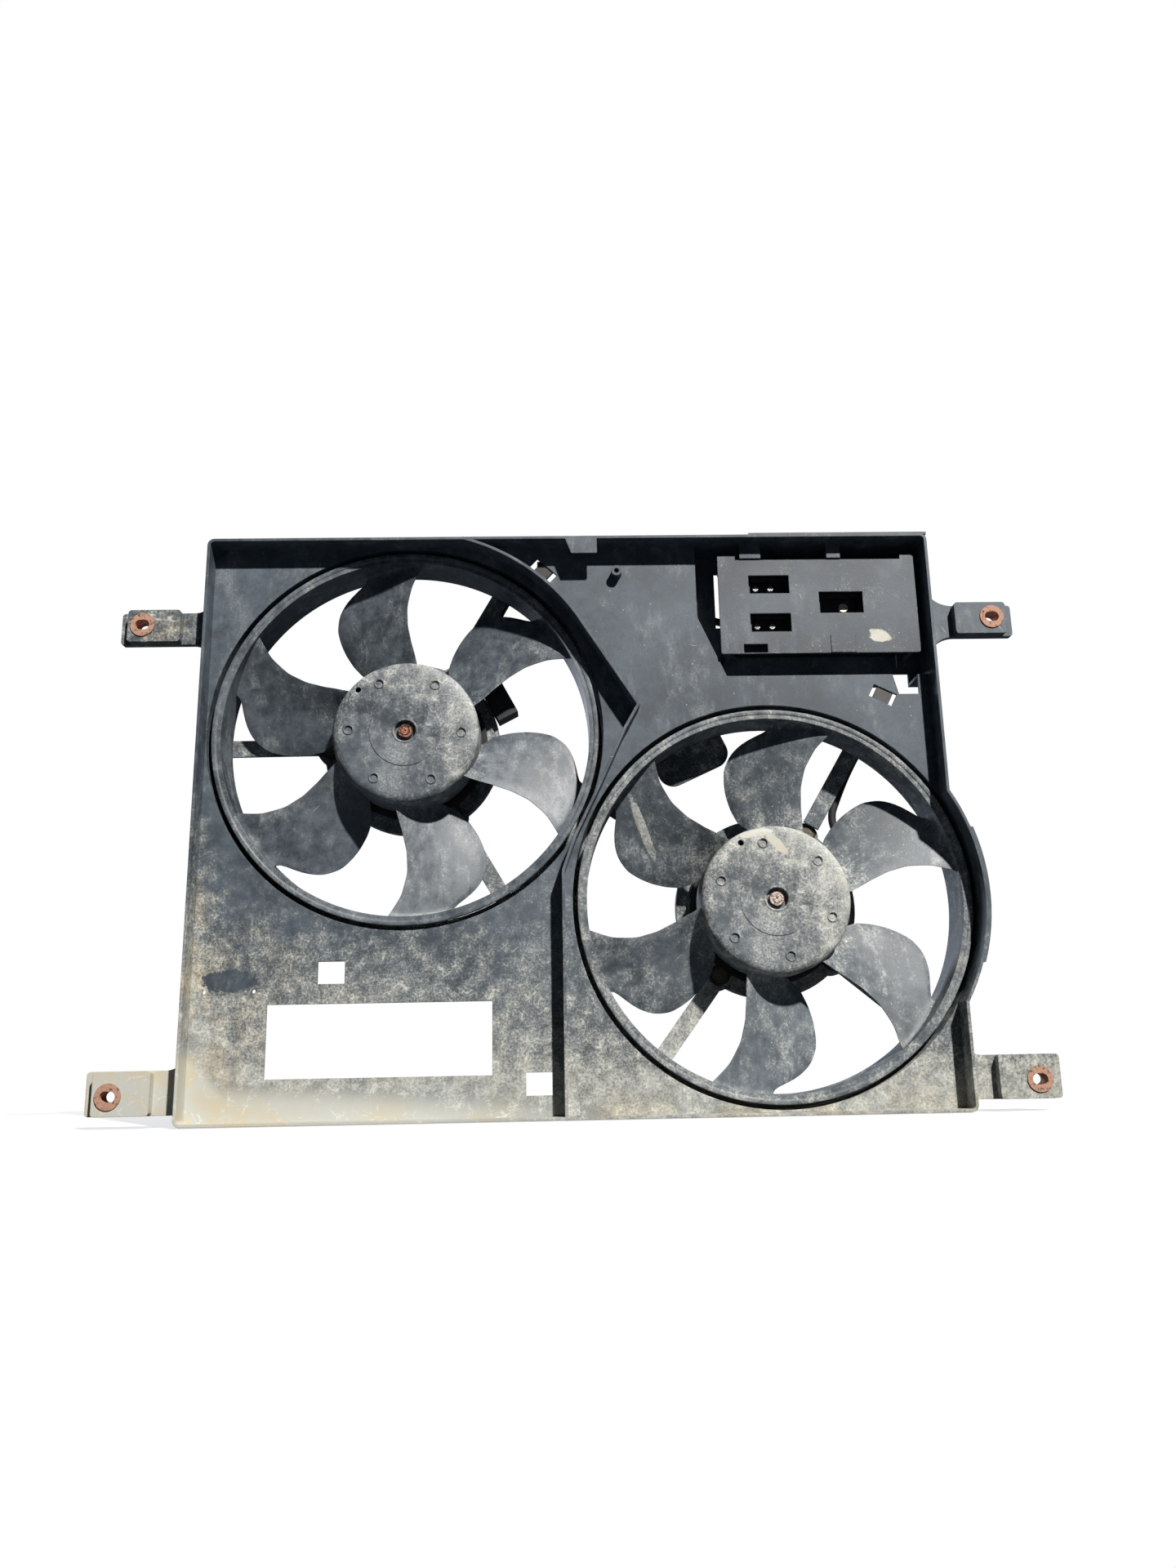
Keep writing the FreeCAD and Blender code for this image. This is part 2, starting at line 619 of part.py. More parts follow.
def lead_route(side):
    """Corners of a motor lead: out of its plug, along the first arm, over the back to the module."""
    centre, angle = FANS[side], ARM_ANGLES[side][0]
    plug_middle = size("ring_radius") + "plug_gap" + size("plug_length") / 2
    outside = size("opening_radius") + "barrel_wall"
    corners = [
        polar(centre, plug_middle, angle - "plug_swing", "plug_half"),
        polar(centre, size("ring_radius") + 19.3, angle, lead_side - 6.5),
        polar(centre, outside - 35, angle, lead_side - 0.7),
        polar(centre, outside + 12, angle, lead_side),
    ]
    x, z = corners[-1]
    socket_left, socket_low = SOCKET_CORNER
    socket_middle = socket_low + size("socket_rise") / 2
    if side == "left":
        corners += [(x + 40.4, z - 3.9), (x + 96, z - 16), (x + 148, z - 29.5), (x + 200.5, z - 45),
                    (socket_left - 38, socket_middle), (socket_left, socket_middle)]
    else:
        socket_x = socket_left + size("socket_width") / 2
        corners += [(x + 1.8, z + 23), (socket_x, z + 57), (socket_x, socket_low)]
    return corners


def lead_post(name, place_on, y):
    """A square post from y to just before a lead at an (x, z) place."""
    x, z = place_on
    reach = size("clip_half")
    return box(name, x - reach, y, z - reach, reach * 2,
               lead_y - "lead_radius" - "lead_gap" - y, reach * 2)


def lead_posts():
    """Posts on the back of the panel and of the bay that carry the left lead."""
    route = lead_route("left")
    over_panel, behind_bay = route[5], route[7]
    return [lead_post("panel_lead_post", over_panel, panel_back - past),
            lead_post("bay_lead_post", behind_bay, bay_floor + wall - past)]


def lead_clips():
    """Two black clips pushed into the panel's slanted slots, each with a post that carries a lead."""
    left, right = lead_route("left"), lead_route("right")
    share = 0.55
    on_left = tuple(here + (after - here) * share for here, after in zip(left[3], left[4]))
    carried = {"rib_slot": on_left, "right_slot": right[4]}
    made = []
    for name, lead_place in carried.items():
        reach = size(f"{name}_plug") / 2
        plug = bar(f"{name}_clip_plug", SLOT_MIDDLES[name], f"{name}_angle", -reach, reach, 0,
                   size(f"{name}_width") / 2 - "clip_fit", panel_front + "clip_sink", "panel")
        flange = bar(f"{name}_clip_flange", SLOT_MIDDLES[name], f"{name}_angle", -reach, reach, 0,
                     "clip_reach", panel_back, "clip_plate")
        post = lead_post(f"{name}_clip_post", lead_place, panel_back + past)
        made.append(fuse(f"{name}_clip", [plug, flange, post]))
    return node(group("lead_clip_set", made), "lead_clips")


def ear_bushes():
    """Four steel bushes with a slotted hole, flush with the back of the ears."""
    made = []
    deep = panel_front + "ear_base"
    flat = size("slot_length") - "slot_width"
    for side, level in EARS:
        x = size("ear_spacing_x") / 2 * side
        z = size("ear_spacing_z") / 2 * (1 if level == "upper" else -1)
        name = f"bush_{level}{side}"
        ends = [disc(f"{name}_end{way}", x + flat / 2 * way, -1, z, size("slot_width") / 2, deep + 2)
                for way in (-1, 1)]
        middle = box(f"{name}_flat", x - flat / 2, -1, z - size("slot_width") / 2, flat, deep + 2,
                     "slot_width")
        sleeve = disc(f"{name}_sleeve", x, 0, z, "bush_radius", deep)
        made.append(cut(name, sleeve, ends + [middle]))
    return node(group("ear_bush_set", made), "ear_bushes")


def module_cover():
    """The slotted cover plate, with a recess in its upper edge for the two hooks over it."""
    left, low = COVER_CORNER
    plate = round_corners(
        "cover_plate_round",
        box("cover_plate_block", left, cover_front, low, "cover_width", "cover_plate", "cover_rise"), 2)
    y = cover_front - past
    deep = size("cover_plate") + past * 2
    tools = [window(name, COVER_CORNER, y, deep)
             for name in ("upper_view", "lower_view", "wide_view", "small_view")]
    tools.append(box("hook_recess", left + "recess_x", y, low + "cover_rise" - "hook_notch",
                     "recess_width", deep, size("hook_notch") + past))
    pad = box("cover_pad", left + "cover_pad_x", cover_front - "cover_pad_lead",
              low + "cover_pad_edge", "cover_pad_width", size("cover_pad_lead") + past / 2,
              "cover_pad_rise")
    return node(cut("cover_body", fuse("cover_mass", [plate, pad]), tools), "module_cover")


def well_middle(name):
    return MODULE_CORNER[1] + f"{name}_height" + size(f"{name}_rise") / 2


PINS = [(MODULE_CORNER[0] + f"{name}_x" + "pin_inset" + size("pin_pitch") * index, well_middle(name))
        for name in ("upper_well", "lower_well") for index in range(2)]
HEADS = [(MODULE_CORNER[0] + "wide_well_x" + "head_inset", well_middle("wide_well")),
         (MODULE_CORNER[0] + "lone_head_x", MODULE_CORNER[1] + "lone_head_height")]


def control_module():
    """The fan control unit, with a well behind each cover window and a socket at its back."""
    front = bay_floor - "module_depth"
    body = round_corners(
        "module_round_body",
        box("module_block", MODULE_CORNER[0], front, MODULE_CORNER[1], "module_width",
            "module_depth", "module_rise"), float(size("module_round")))
    x, z = SOCKET_CORNER
    socket = box("socket_block", x, bay_floor - past, z, "socket_width",
                 size("socket_depth") + past, "socket_rise")
    rim = size("socket_wall")
    deep = size("well_depth") + past
    away = [window(name, MODULE_CORNER, front - past, deep)
            for name in ("upper_well", "lower_well", "wide_well")]
    away.append(box("socket_room", x + rim, bay_floor + "socket_floor", z + rim,
                    size("socket_width") - rim * 2, "socket_depth", size("socket_rise") - rim * 2))
    x, z = HEADS[1]
    away.append(disc("lone_head_well", x, front - past, z, size("head_radius") + "head_room", deep))
    for index, (x, z) in enumerate(HEADS):
        away.append(disc(f"module_screw_hole{index}", x, front + "well_depth" - past, z,
                         size("module_shank") + "screw_fit", "module_depth"))
    return node(cut("module_body", fuse("module_mass", [body, socket]), away), "control_module")


def module_fittings():
    """Terminal pins in the wells and the screws that hold the module to the bay floor."""
    floor = bay_floor - "module_depth" + "well_depth"
    pins = [disc(f"module_pin{index}", x, floor - "pin_length", z, "pin_radius", "pin_length")
            for index, (x, z) in enumerate(PINS)]
    node(group("module_pin_set", pins), "module_pins")
    screws = []
    for index, (x, z) in enumerate(HEADS):
        head = disc(f"module_head{index}", x, floor - "head_height", z, "head_radius", "head_height")
        shank = disc(f"module_shank{index}", x, floor - past, z, "module_shank",
                     bay_floor - floor + past)
        screws.append(fuse(f"module_screw{index}", [head, shank]))
    node(group("module_screw_set", screws), "module_screws")


# Rotor: hub cup, six blades and band moulded in one, the same moulding on both sides.

def hub():
    front, back = size("hub_front"), size("hub_front") + "hub_depth"
    plate = front + "hub_wall"
    boss_back = plate + "hub_boss_depth"
    seat = size("insert_radius") + "press_gap"
    raised = front - "disc_lead"
    profile = [
        (raised, "recess_radius"), (raised, "disc_radius"), (front, size("disc_radius") + "disc_lead"),
        (front, "hub_radius"), (back, "hub_radius"), (back, size("hub_radius") - "hub_wall"),
        (plate, size("hub_radius") - "hub_wall"), (plate, "hub_boss"), (boss_back, "hub_boss"),
        (boss_back, seat), (front + "recess_depth", seat), (front + "recess_depth", "recess_radius"),
    ]
    body = turned("hub_cup", profile)
    soften(body, size("hub_radius") - "hub_wall", plate, size("hub_round") - "hub_wall")
    soften(body, size("hub_radius"), front, size("hub_round"))
    return body


def soften(body, edge_radius, y, amount):
    """Rounds the round edge of a turned body that has this radius and lies at this y."""
    doc.recompute()
    edges = [f"Edge{index}" for index, edge in enumerate(body.Shape.Edges, start=1)
             if isinstance(edge.Curve, Part.Circle)
             and abs(edge.Curve.Radius - float(edge_radius)) < 0.01
             and abs(edge.CenterOfMass.y - float(y)) < 0.01]
    before = body.Tip
    rounded = body.newObject("PartDesign::Fillet", f"{body.Name}_rounded")
    rounded.Base = (before, edges)
    bind(rounded, "Radius", amount)
    body.Tip = rounded


def band():
    """The ring round the blade tips: a cylinder with a flange at its front."""
    front, bore, outside = size("band_front"), size("band_bore"), size("band_radius")
    step = 0.8
    profile = [
        (front + step, bore), (front + step, bore + 4), (front, bore + 4), (front, outside),
        (front + "lip_plate", outside), (front + "lip_plate", bore + "band_wall"),
        (front + "band_depth", bore + "band_wall"), (front + "band_depth", bore),
    ]
    return turned("band_ring", profile)


# A blade's leading and trailing edges: share of the way from hub to band, and angle in degrees.
LEADING_EDGE = [(0, -4), (0.417, 5.3), (1, -0.3)]
TRAILING_EDGE = [(0.774, 33.4), (0.664, 37.2), (0.436, 40.2), (0.3, 40.6), (0.159, 39.4),
                 (0.06, 34), (0, 28.5)]
TIP_END, ROUND_START, ROUND_MIDDLE = (1, 19), (0.94, 19.5), (0.87, 27.2)
BLADE_COUNT = 6


def blade_shape():
    """One blade: a twisted plate, trimmed to its outline seen from the front."""
    root = float(size("hub_radius") - size("hub_wall") - 0.5)
    tip = float(size("band_bore") + size("band_wall") / 2)
    thickness = float(size("blade_thickness"))

    def point(share, angle, y=0):
        radius = root + (tip - root) * share
        turn = math.radians(angle)
        return FreeCAD.Vector(radius * math.cos(turn), y, radius * math.sin(turn))

    trailing = Part.BSplineCurve()
    trailing.interpolate([point(*place_on) for place_on in TRAILING_EDGE])
    lead = [point(*place_on) for place_on in LEADING_EDGE]
    edges = [
        Part.Arc(*lead),
        Part.Arc(lead[-1], point(1, TIP_END[1] / 2), point(*TIP_END)),
        Part.LineSegment(point(*TIP_END), point(*ROUND_START)),
        Part.Arc(point(*ROUND_START), point(*ROUND_MIDDLE), point(*TRAILING_EDGE[0])),
        trailing,
        Part.Arc(point(*TRAILING_EDGE[-1]), point(0, 13), lead[0]),
    ]
    face = Part.Face(Part.Wire([edge.toShape() for edge in edges]))
    front = float(size("blade_front"))
    trim = face.extrude(FreeCAD.Vector(0, front + 60, 0))

    sections = []
    first_angle, last_angle, steps = -10, 46, 7
    for step in range(steps):
        angle = first_angle + (last_angle - first_angle) * step / (steps - 1)
        share = angle / 34
        camber = float(size("blade_camber")) * math.sin(math.pi * min(max(share, 0), 1))
        y = front + float(size("blade_rake")) * share + camber
        corners = [point(-0.05, angle, y), point(1.05, angle, y),
                   point(1.05, angle, y + thickness), point(-0.05, angle, y + thickness)]
        sections.append(Part.makePolygon(corners + corners[:1]))
    plate = Part.makeLoft(sections, True, False)
    return plate.common(trim)


def fan_rotors():
    blade = blade_shape()
    blades = []
    for index in range(BLADE_COUNT):
        copy = blade.copy()
        copy.rotate(FreeCAD.Vector(), FreeCAD.Vector(0, -1, 0), 360 / BLADE_COUNT * index)
        item = doc.addObject("Part::Feature", f"blade{index}")
        item.Shape = copy
        blades.append(item)
    marks = []
    hub_middle, before_hub = (size(0), size(0)), size("hub_front") - past
    for index in range(BLADE_COUNT):
        x, z = polar(hub_middle, "dimple_circle", size("dimple_angle") + 360 / BLADE_COUNT * index)
        marks.append(disc(f"dimple{index}", x, before_hub, z, "dimple_radius",
                          size("dimple_depth") + past))
    x, z = polar(hub_middle, "drain_circle", "drain_angle")
    marks.append(disc("drain_hole", x, before_hub, z, "drain_radius", size("hub_depth") / 2))
    mass = fuse("rotor_mass", [hub(), band()] + blades)
    # The curved blade roots come out whole only when the fused faces are left as they are.
    mass.Refine = False
    form = cut("rotor_form", mass, marks)
    for side, (fan_x, fan_z) in FANS.items():
        rotor = group(f"{side}_rotor_copy", [form])
        rotor.Placement.Rotation = FreeCAD.Rotation(FreeCAD.Vector(0, -1, 0), 30)
        rotor.setExpression("Placement.Rotation.Angle", f"{size(f'{side}_turn').text} * 1 deg")
        place(rotor, fan_x, 0, fan_z)
        node(rotor, f"{side}_fan_rotor")


# Motors

def motor(side):
    fan_x, fan_z = FANS[side]
    centre = FANS[side]

    def ring(name, profile):
        return node(place(turned(f"{side}_{name}_body", profile), fan_x, 0, fan_z), f"{side}_{name}")

    def solid(name, y, radius, deep):
        return disc(f"{side}_{name}", fan_x, y, fan_z, radius, deep)

    shaft, fit = size("shaft_radius"), size("running_fit")
    can_front = size("can_front")
    can_back = can_front + "can_length"
    nose_front = can_front - "nose_lead"
    front_bearing = nose_front + 2
    bearing = size("bearing_radius")
    inside = size("can_radius") - "can_wall"
    flange_back = arm_front + "boss_step" - "isolator_height"
    bead_back = flange_back + "bead_width"

    # Can: drawn steel, a bead carries the flange, the nose holds the front bearing.
    ring("motor_can", [
        (nose_front, shaft + 1.5), (nose_front, "nose_radius"), (can_front, "nose_radius"),
        (can_front, "can_radius"), (flange_back, "can_radius"), (flange_back, "bead_radius"),
        (bead_back, "bead_radius"), (bead_back, "can_radius"), (can_back, "can_radius"),
        (can_back, inside), (can_front + "can_wall", inside), (can_front + "can_wall", "nose_radius"),
        (front_bearing + "bearing_width", "nose_radius"), (front_bearing + "bearing_width", bearing),
        (front_bearing, bearing), (front_bearing, shaft + 1.5),
    ])
    cap_back = can_back + "cap_plate"
    rear_bearing = cap_back
    ring("motor_end_cap", [
        (can_back, bearing), (can_back, "can_radius"), (cap_back, "can_radius"),
        (cap_back, "nose_radius"), (cap_back + "cap_boss", "nose_radius"), (cap_back + "cap_boss", 0),
        (rear_bearing + "bearing_width" + 0.5, 0), (rear_bearing + "bearing_width" + 0.5, bearing),
    ])
    for name, y in (("front_bearing", front_bearing), ("rear_bearing", rear_bearing)):
        ring(name, [(y, shaft + fit), (y, bearing - "press_gap"), (y + "bearing_width", bearing - "press_gap"),
                    (y + "bearing_width", shaft + fit)])

    # Shaft, hub bush and retaining ring turn with the fan.
    shaft_end = rear_bearing + "bearing_width" + 0.2
    ring("motor_shaft", [
        (size("shaft_front") + 1.2, 0), ("shaft_front", shaft * 0.3), ("shaft_front", shaft * 0.8),
        (size("shaft_front") + 0.8, shaft), (shaft_end, shaft), (shaft_end, 0),
    ])
    insert_back = size("hub_front") + "hub_wall" + "hub_boss_depth"
    insert_front = size("hub_front") + "recess_depth" - "insert_lead"
    ring("hub_insert", [(insert_front, shaft + "press_gap"), (insert_front, "insert_radius"),
                        (insert_back, "insert_radius"), (insert_back, shaft + "press_gap")])
    clip_front = insert_front - "ring_clip_plate"
    ring("hub_clip", [(clip_front, shaft + "press_gap"), (clip_front, "ring_clip_radius"),
                      (insert_front, "ring_clip_radius"), (insert_front, shaft + "press_gap")])

    # Armature: laminated core, end turns and commutator on the shaft.
    core_front = can_front + "core_set"
    core_back = core_front + "core_length"
    magnet_bore = inside - "magnet_wall" - 0.05
    ring("armature_core", [(core_front, shaft + "press_gap"), (core_front, magnet_bore - "air_gap"),
                           (core_back, magnet_bore - "air_gap"), (core_back, shaft + "press_gap")])
    turns = []
    for name, y in (("front_turns", core_front - "winding_height"), ("rear_turns", core_back)):
        turns.append(cut(f"{side}_{name}", solid(f"{name}_outside", y, "winding_radius", "winding_height"),
                         [solid(f"{name}_bore", y - 1, shaft + "press_gap", size("winding_height") + 2)]))
    node(group(f"{side}_turns", turns), f"{side}_armature_windings")
    commutator_front = core_back + "winding_height"
    ring("commutator", [
        (commutator_front, shaft + "press_gap"), (commutator_front, "commutator_radius"),
        (commutator_front + "commutator_length", "commutator_radius"),
        (commutator_front + "commutator_length", shaft + "press_gap"),
    ])

    # Four arc magnets on the can's inside.
    magnets = []
    bore = solid("magnet_bore", can_front, magnet_bore, "can_length")
    for index in range(4):
        arc = doc.addObject("Part::Cylinder", f"{side}_magnet_arc{index}")
        bind(arc, "Radius", inside - 0.05)
        bind(arc, "Height", "magnet_length")
        bind(arc, "Angle", "magnet_span")
        start = float(size("magnet_start")) + 90 * index
        about_y = FreeCAD.Rotation(FreeCAD.Vector(0, 1, 0), start)
        arc.Placement.Rotation = about_y.multiply(FACING_BACK)
        place(arc, fan_x, can_front + "magnet_set", fan_z)
        magnets.append(cut(f"{side}_magnet{index}", arc, [bore]))
    node(group(f"{side}_magnet_set", magnets), f"{side}_motor_magnets")

    # Brush plate just inside the open end, with two brushes on it.
    plate_front = can_back - "brush_width" - "brush_plate"
    ring("brush_plate", [
        (plate_front, "brush_plate_bore"), (plate_front, inside - 0.05),
        (plate_front + "brush_plate", inside - 0.05), (plate_front + "brush_plate", "brush_plate_bore"),
    ])
    brushes = []
    for index in range(2):
        start = size("commutator_radius") + "brush_fit"
        brushes.append(bar(f"{side}_brush{index}", centre, size("brush_angle") + 180 * index, start,
                           start + "brush_length", 0, "brush_half", plate_front + "brush_plate",
                           size("brush_width") - "brush_fit"))
    node(group(f"{side}_brush_set", brushes), f"{side}_motor_brushes")

    # Flange with a lug at each arm, isolators and screws.
    flange_front = flange_back - "bracket_plate"
    flange_radius = size("boss_circle") - size("lug_radius") * 0.6
    lugs = [solid("flange", flange_front, flange_radius, "bracket_plate")]
    holes = [solid("flange_bore", flange_front - 1, size("can_radius") + 0.1,
                   size("bracket_plate") + 2)]
    isolators, screws = [], []
    for arm, angle in enumerate(ARM_ANGLES[side]):
        x, z = polar(centre, "boss_circle", angle)
        tag = f"{side}{arm}"
        lugs.append(disc(f"lug{tag}", x, flange_front, z, "lug_radius", "bracket_plate"))
        holes.append(disc(f"lug_hole{tag}", x, flange_front - 1, z, size("screw_radius") + 0.3,
                          size("bracket_plate") + 2))
        rubber = disc(f"rubber{tag}", x, flange_back, z, "lug_radius", "isolator_height")
        rubber_hole = disc(f"rubber_hole{tag}", x, flange_back - 1, z,
                           size("screw_radius") + "screw_fit", size("isolator_height") + 2)
        isolators.append(cut(f"isolator{tag}", rubber, [rubber_hole]))
        washer_front = flange_front - "washer"
        length = size("bracket_plate") + "isolator_height" + "boss_depth" - "boss_floor"
        screws.append(fuse(f"motor_screw{tag}", [
            disc(f"screw_head{tag}", x, washer_front - "screw_head", z, "screw_head_radius",
                 "screw_head"),
            disc(f"screw_washer{tag}", x, washer_front, z, "washer_radius", "washer"),
            disc(f"screw_shank{tag}", x, flange_front - 1, z, "screw_radius", length + 0.9),
        ]))
    node(cut(f"{side}_flange_body", fuse(f"{side}_flange_mass", lugs), holes), f"{side}_motor_bracket")
    node(group(f"{side}_isolator_set", isolators), f"{side}_motor_isolators")
    node(group(f"{side}_screw_set", screws), f"{side}_motor_screws")

    # Connector beside the motor ring and its lead to the module.
    plug_start = size("ring_radius") + "plug_gap"
    plug = bar(f"{side}_plug", centre, ARM_ANGLES[side][0] - "plug_swing", plug_start,
               plug_start + "plug_length", 0, "plug_half", arm_front + "plug_step", "plug_depth")
    node(plug, f"{side}_motor_connector")
    lead(side)


def lead(side):
    """A round lead along straight runs joined by arcs as large as the runs allow."""
    y = float(lead_y)
    points = [FreeCAD.Vector(float(x), y, float(z)) for x, z in lead_route(side)]
    edges, start = [], points[0]
    radii = []
    for before, corner, after in zip(points, points[1:], points[2:]):
        back, ahead = (before - corner), (after - corner)
        turn = math.pi - back.getAngle(ahead)
        reach = 0.45 * min(back.Length, ahead.Length)
        back.normalize()
        ahead.normalize()
        enter, leave = corner + back * reach, corner + ahead * reach
        radius = reach / math.tan(turn / 2)
        radii.append(round(radius, 1))
        inward = (back + ahead).normalize()
        middle = corner + inward * (radius / math.cos(turn / 2) - radius)
        edges.append(Part.LineSegment(start, enter).toShape())
        edges.append(Part.Arc(enter, middle, leave).toShape())
        start = leave
    edges.append(Part.LineSegment(start, points[-1]).toShape())
    path = Part.Wire(edges)
    radius = float(size("lead_radius"))
    section = Part.Wire([Part.makeCircle(radius, points[0], points[1] - points[0])])
    tube = doc.addObject("Part::Feature", f"{side}_lead_tube")
    tube.Shape = path.makePipeShell([section], True, False)
    ideal = math.pi * radius ** 2 * path.Length
    print(f"{side} lead: radii {radii}, length {path.Length:.0f}, volume {tube.Shape.Volume / ideal:.4f}")
    node(tube, f"{side}_motor_lead")


shroud()
lead_clips()
ear_bushes()
module_cover()
control_module()
module_fittings()
fan_rotors()
for fan_side in FANS:
    motor(fan_side)
doc.recompute()

# Every object must have built, and every sub-part must be a valid shape, before anything is written.
for item in doc.Objects:
    if {"Invalid", "Error"} & set(item.State):
        raise RuntimeError(f"{item.Name} ({item.Label}) did not build: {item.State}")
for item in nodes:
    if item.Shape.isNull() or not item.Shape.isValid() or not item.Shape.Solids:
        raise RuntimeError(f"{item.Label} is not a valid solid")

os.makedirs("parts", exist_ok=True)
for item in nodes:
    item.Shape.exportStep(f"parts/{item.Label}.step")
    print(f"{item.Label}: {len(item.Shape.Solids)} solids, {item.Shape.Volume / 1000:.1f} cm3")
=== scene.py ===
import math

import bmesh
import bpy
from mathutils import Matrix, Vector


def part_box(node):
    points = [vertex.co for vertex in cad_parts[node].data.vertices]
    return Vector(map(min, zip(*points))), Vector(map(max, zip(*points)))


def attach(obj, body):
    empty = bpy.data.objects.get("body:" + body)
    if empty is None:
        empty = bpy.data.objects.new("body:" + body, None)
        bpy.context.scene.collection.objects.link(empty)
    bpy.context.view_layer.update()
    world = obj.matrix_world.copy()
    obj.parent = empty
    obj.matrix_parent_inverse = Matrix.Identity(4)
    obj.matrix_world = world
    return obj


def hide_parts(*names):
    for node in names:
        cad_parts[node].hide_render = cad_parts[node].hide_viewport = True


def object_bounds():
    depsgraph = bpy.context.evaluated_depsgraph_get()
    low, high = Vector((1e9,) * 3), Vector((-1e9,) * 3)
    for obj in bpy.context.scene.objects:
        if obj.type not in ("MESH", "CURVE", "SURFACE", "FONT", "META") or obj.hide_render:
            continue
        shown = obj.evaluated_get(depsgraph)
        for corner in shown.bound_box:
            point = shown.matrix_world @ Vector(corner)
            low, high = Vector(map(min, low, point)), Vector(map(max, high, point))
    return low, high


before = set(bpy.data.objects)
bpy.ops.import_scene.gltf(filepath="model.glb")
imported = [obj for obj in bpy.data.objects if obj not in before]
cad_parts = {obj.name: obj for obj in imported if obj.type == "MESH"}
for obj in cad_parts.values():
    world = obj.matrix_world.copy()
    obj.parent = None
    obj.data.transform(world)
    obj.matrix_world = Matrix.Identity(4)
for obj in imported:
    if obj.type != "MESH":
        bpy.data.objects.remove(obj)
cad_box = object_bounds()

# Camera: about a metre in front of the tray, a little left of its middle and low down, looking up
# at it as the photograph does. The longer side of the picture spans 36 mm on a 27 mm lens.
camera = bpy.data.objects.new("camera", bpy.data.cameras.new("camera"))
bpy.context.scene.collection.objects.link(camera)
camera.data.sensor_width = 36
camera.data.lens = 27.04
camera_place = Vector((-0.0128, -0.9818, -0.1854))
look = Vector((0.02502, 0.97183, 0.23434))
upward = Vector((0.01327, -0.23472, 0.97197))
facing = Matrix((look.cross(upward), upward, -look)).transposed()
camera.matrix_world = Matrix.Translation(camera_place) @ facing.to_4x4()
bpy.context.scene.camera = camera
bpy.context.scene.view_settings.view_transform = "Standard"


# Studio: a pale floor that the tray's lower edge stands on, a white surround and two lamps. The
# small main lamp stands high at the right, so walls and ribs throw crisp shadows down and left.
MM = 0.001


def linear(colour, alpha=1):
    """An sRGB colour such as "8a9097" as the linear colour that the shader sockets take."""
    shares = [int(colour[start:start + 2], 16) / 255 for start in (0, 2, 4)]
    return [s / 12.92 if s <= 0.04045 else ((s + 0.055) / 1.055) ** 2.4 for s in shares] + [alpha]


def add(tree, kind, inputs=None, **settings):
    """Adds a shader node, sets its properties, and fills its sockets or links them.

    A node among the inputs stands for its first output in use.
    """
    node = tree.nodes.new("ShaderNode" + kind)
    for name, value in settings.items():
        setattr(node, name, value)
    for name, value in (inputs or {}).items():
        if isinstance(value, bpy.types.Node):
            value = next(socket for socket in value.outputs if socket.enabled)
        if isinstance(value, bpy.types.NodeSocket):
            tree.links.new(value, node.inputs[name])
        else:
            node.inputs[name].default_value = value
    return node


def empty_material(name):
    """A material whose node tree holds nothing yet."""
    material = bpy.data.materials.new(name)
    material.use_nodes = True
    material.node_tree.nodes.clear()
    return material, material.node_tree


def lamp(name, place, size, power, colour):
    """A square soft lamp that faces the middle of the tray."""
    data = bpy.data.lights.new(name, "AREA")
    data.size = size
    data.energy = power
    data.color = linear(colour)[:3]
    item = bpy.data.objects.new(name, data)
    item.location = place
    item.rotation_euler = (-Vector(place)).to_track_quat("-Z", "Y").to_euler()
    bpy.context.scene.collection.objects.link(item)


# The camera sees a white surround, but the light that it gives the object is faint and cool.
world = bpy.data.worlds.new("studio")
bpy.context.scene.world = world
world.use_nodes = True
tree = world.node_tree
tree.nodes.clear()
ray = add(tree, "LightPath")
seen = add(tree, "Math", {0: ray.outputs["Is Camera Ray"], 1: ray.outputs["Is Transmission Ray"]},
           operation="MAXIMUM")
fill = add(tree, "Background", {"Color": linear("bccbe6"), "Strength": 0.035})
white = add(tree, "Background", {"Color": linear("ffffff"), "Strength": 1.0})
sky = add(tree, "MixShader", {0: seen, 1: fill, 2: white})
add(tree, "OutputWorld", {"Surface": sky})

# The floor paint is pale to the camera, and dull to the light that it would throw back at the tray.
# It fades into the white surround from the inner distance to the outer one.
floor_radius = 6
floor_gap = 0.4 * MM
fade_inner, fade_outer, fade_least = 0.35, 1.3, 0.65
bpy.ops.mesh.primitive_circle_add(vertices=96, radius=floor_radius, fill_type="NGON",
                                  location=(0, 0, cad_box[0][2] - floor_gap))
floor = bpy.context.object
floor.name = "studio_floor"
material, tree = empty_material("white floor paint")
place = add(tree, "TexCoord").outputs["Object"]
away = add(tree, "VectorMath", {0: place}, operation="LENGTH")
fade = add(tree, "MapRange", {"Value": away, "From Min": fade_inner, "From Max": fade_outer,
                              "To Min": fade_least})
ray = add(tree, "LightPath")
hidden = add(tree, "Math", {0: fade, 1: ray.outputs["Is Camera Ray"]}, operation="MULTIPLY")
pale = add(tree, "BsdfDiffuse", {"Color": linear("f4f4f4")})
dull = add(tree, "BsdfDiffuse", {"Color": linear("4c5056")})
paint = add(tree, "MixShader", {0: ray.outputs["Is Camera Ray"], 1: dull, 2: pale})
white = add(tree, "Emission", {"Color": linear("ffffff"), "Strength": 1.0})
surface = add(tree, "MixShader", {0: hidden, 1: paint, 2: white})
add(tree, "OutputMaterial", {"Surface": surface})
floor.data.materials.append(material)

main_way = Vector((0.5, -1, 0.95)).normalized()
main_distance = 6
lamp("main_lamp", main_way * main_distance, size=0.20, power=690, colour="fffaf4")
lamp("rear_lamp", (-1.6, 2.2, 1.4), size=1.6, power=65, colour="e8f0ff")


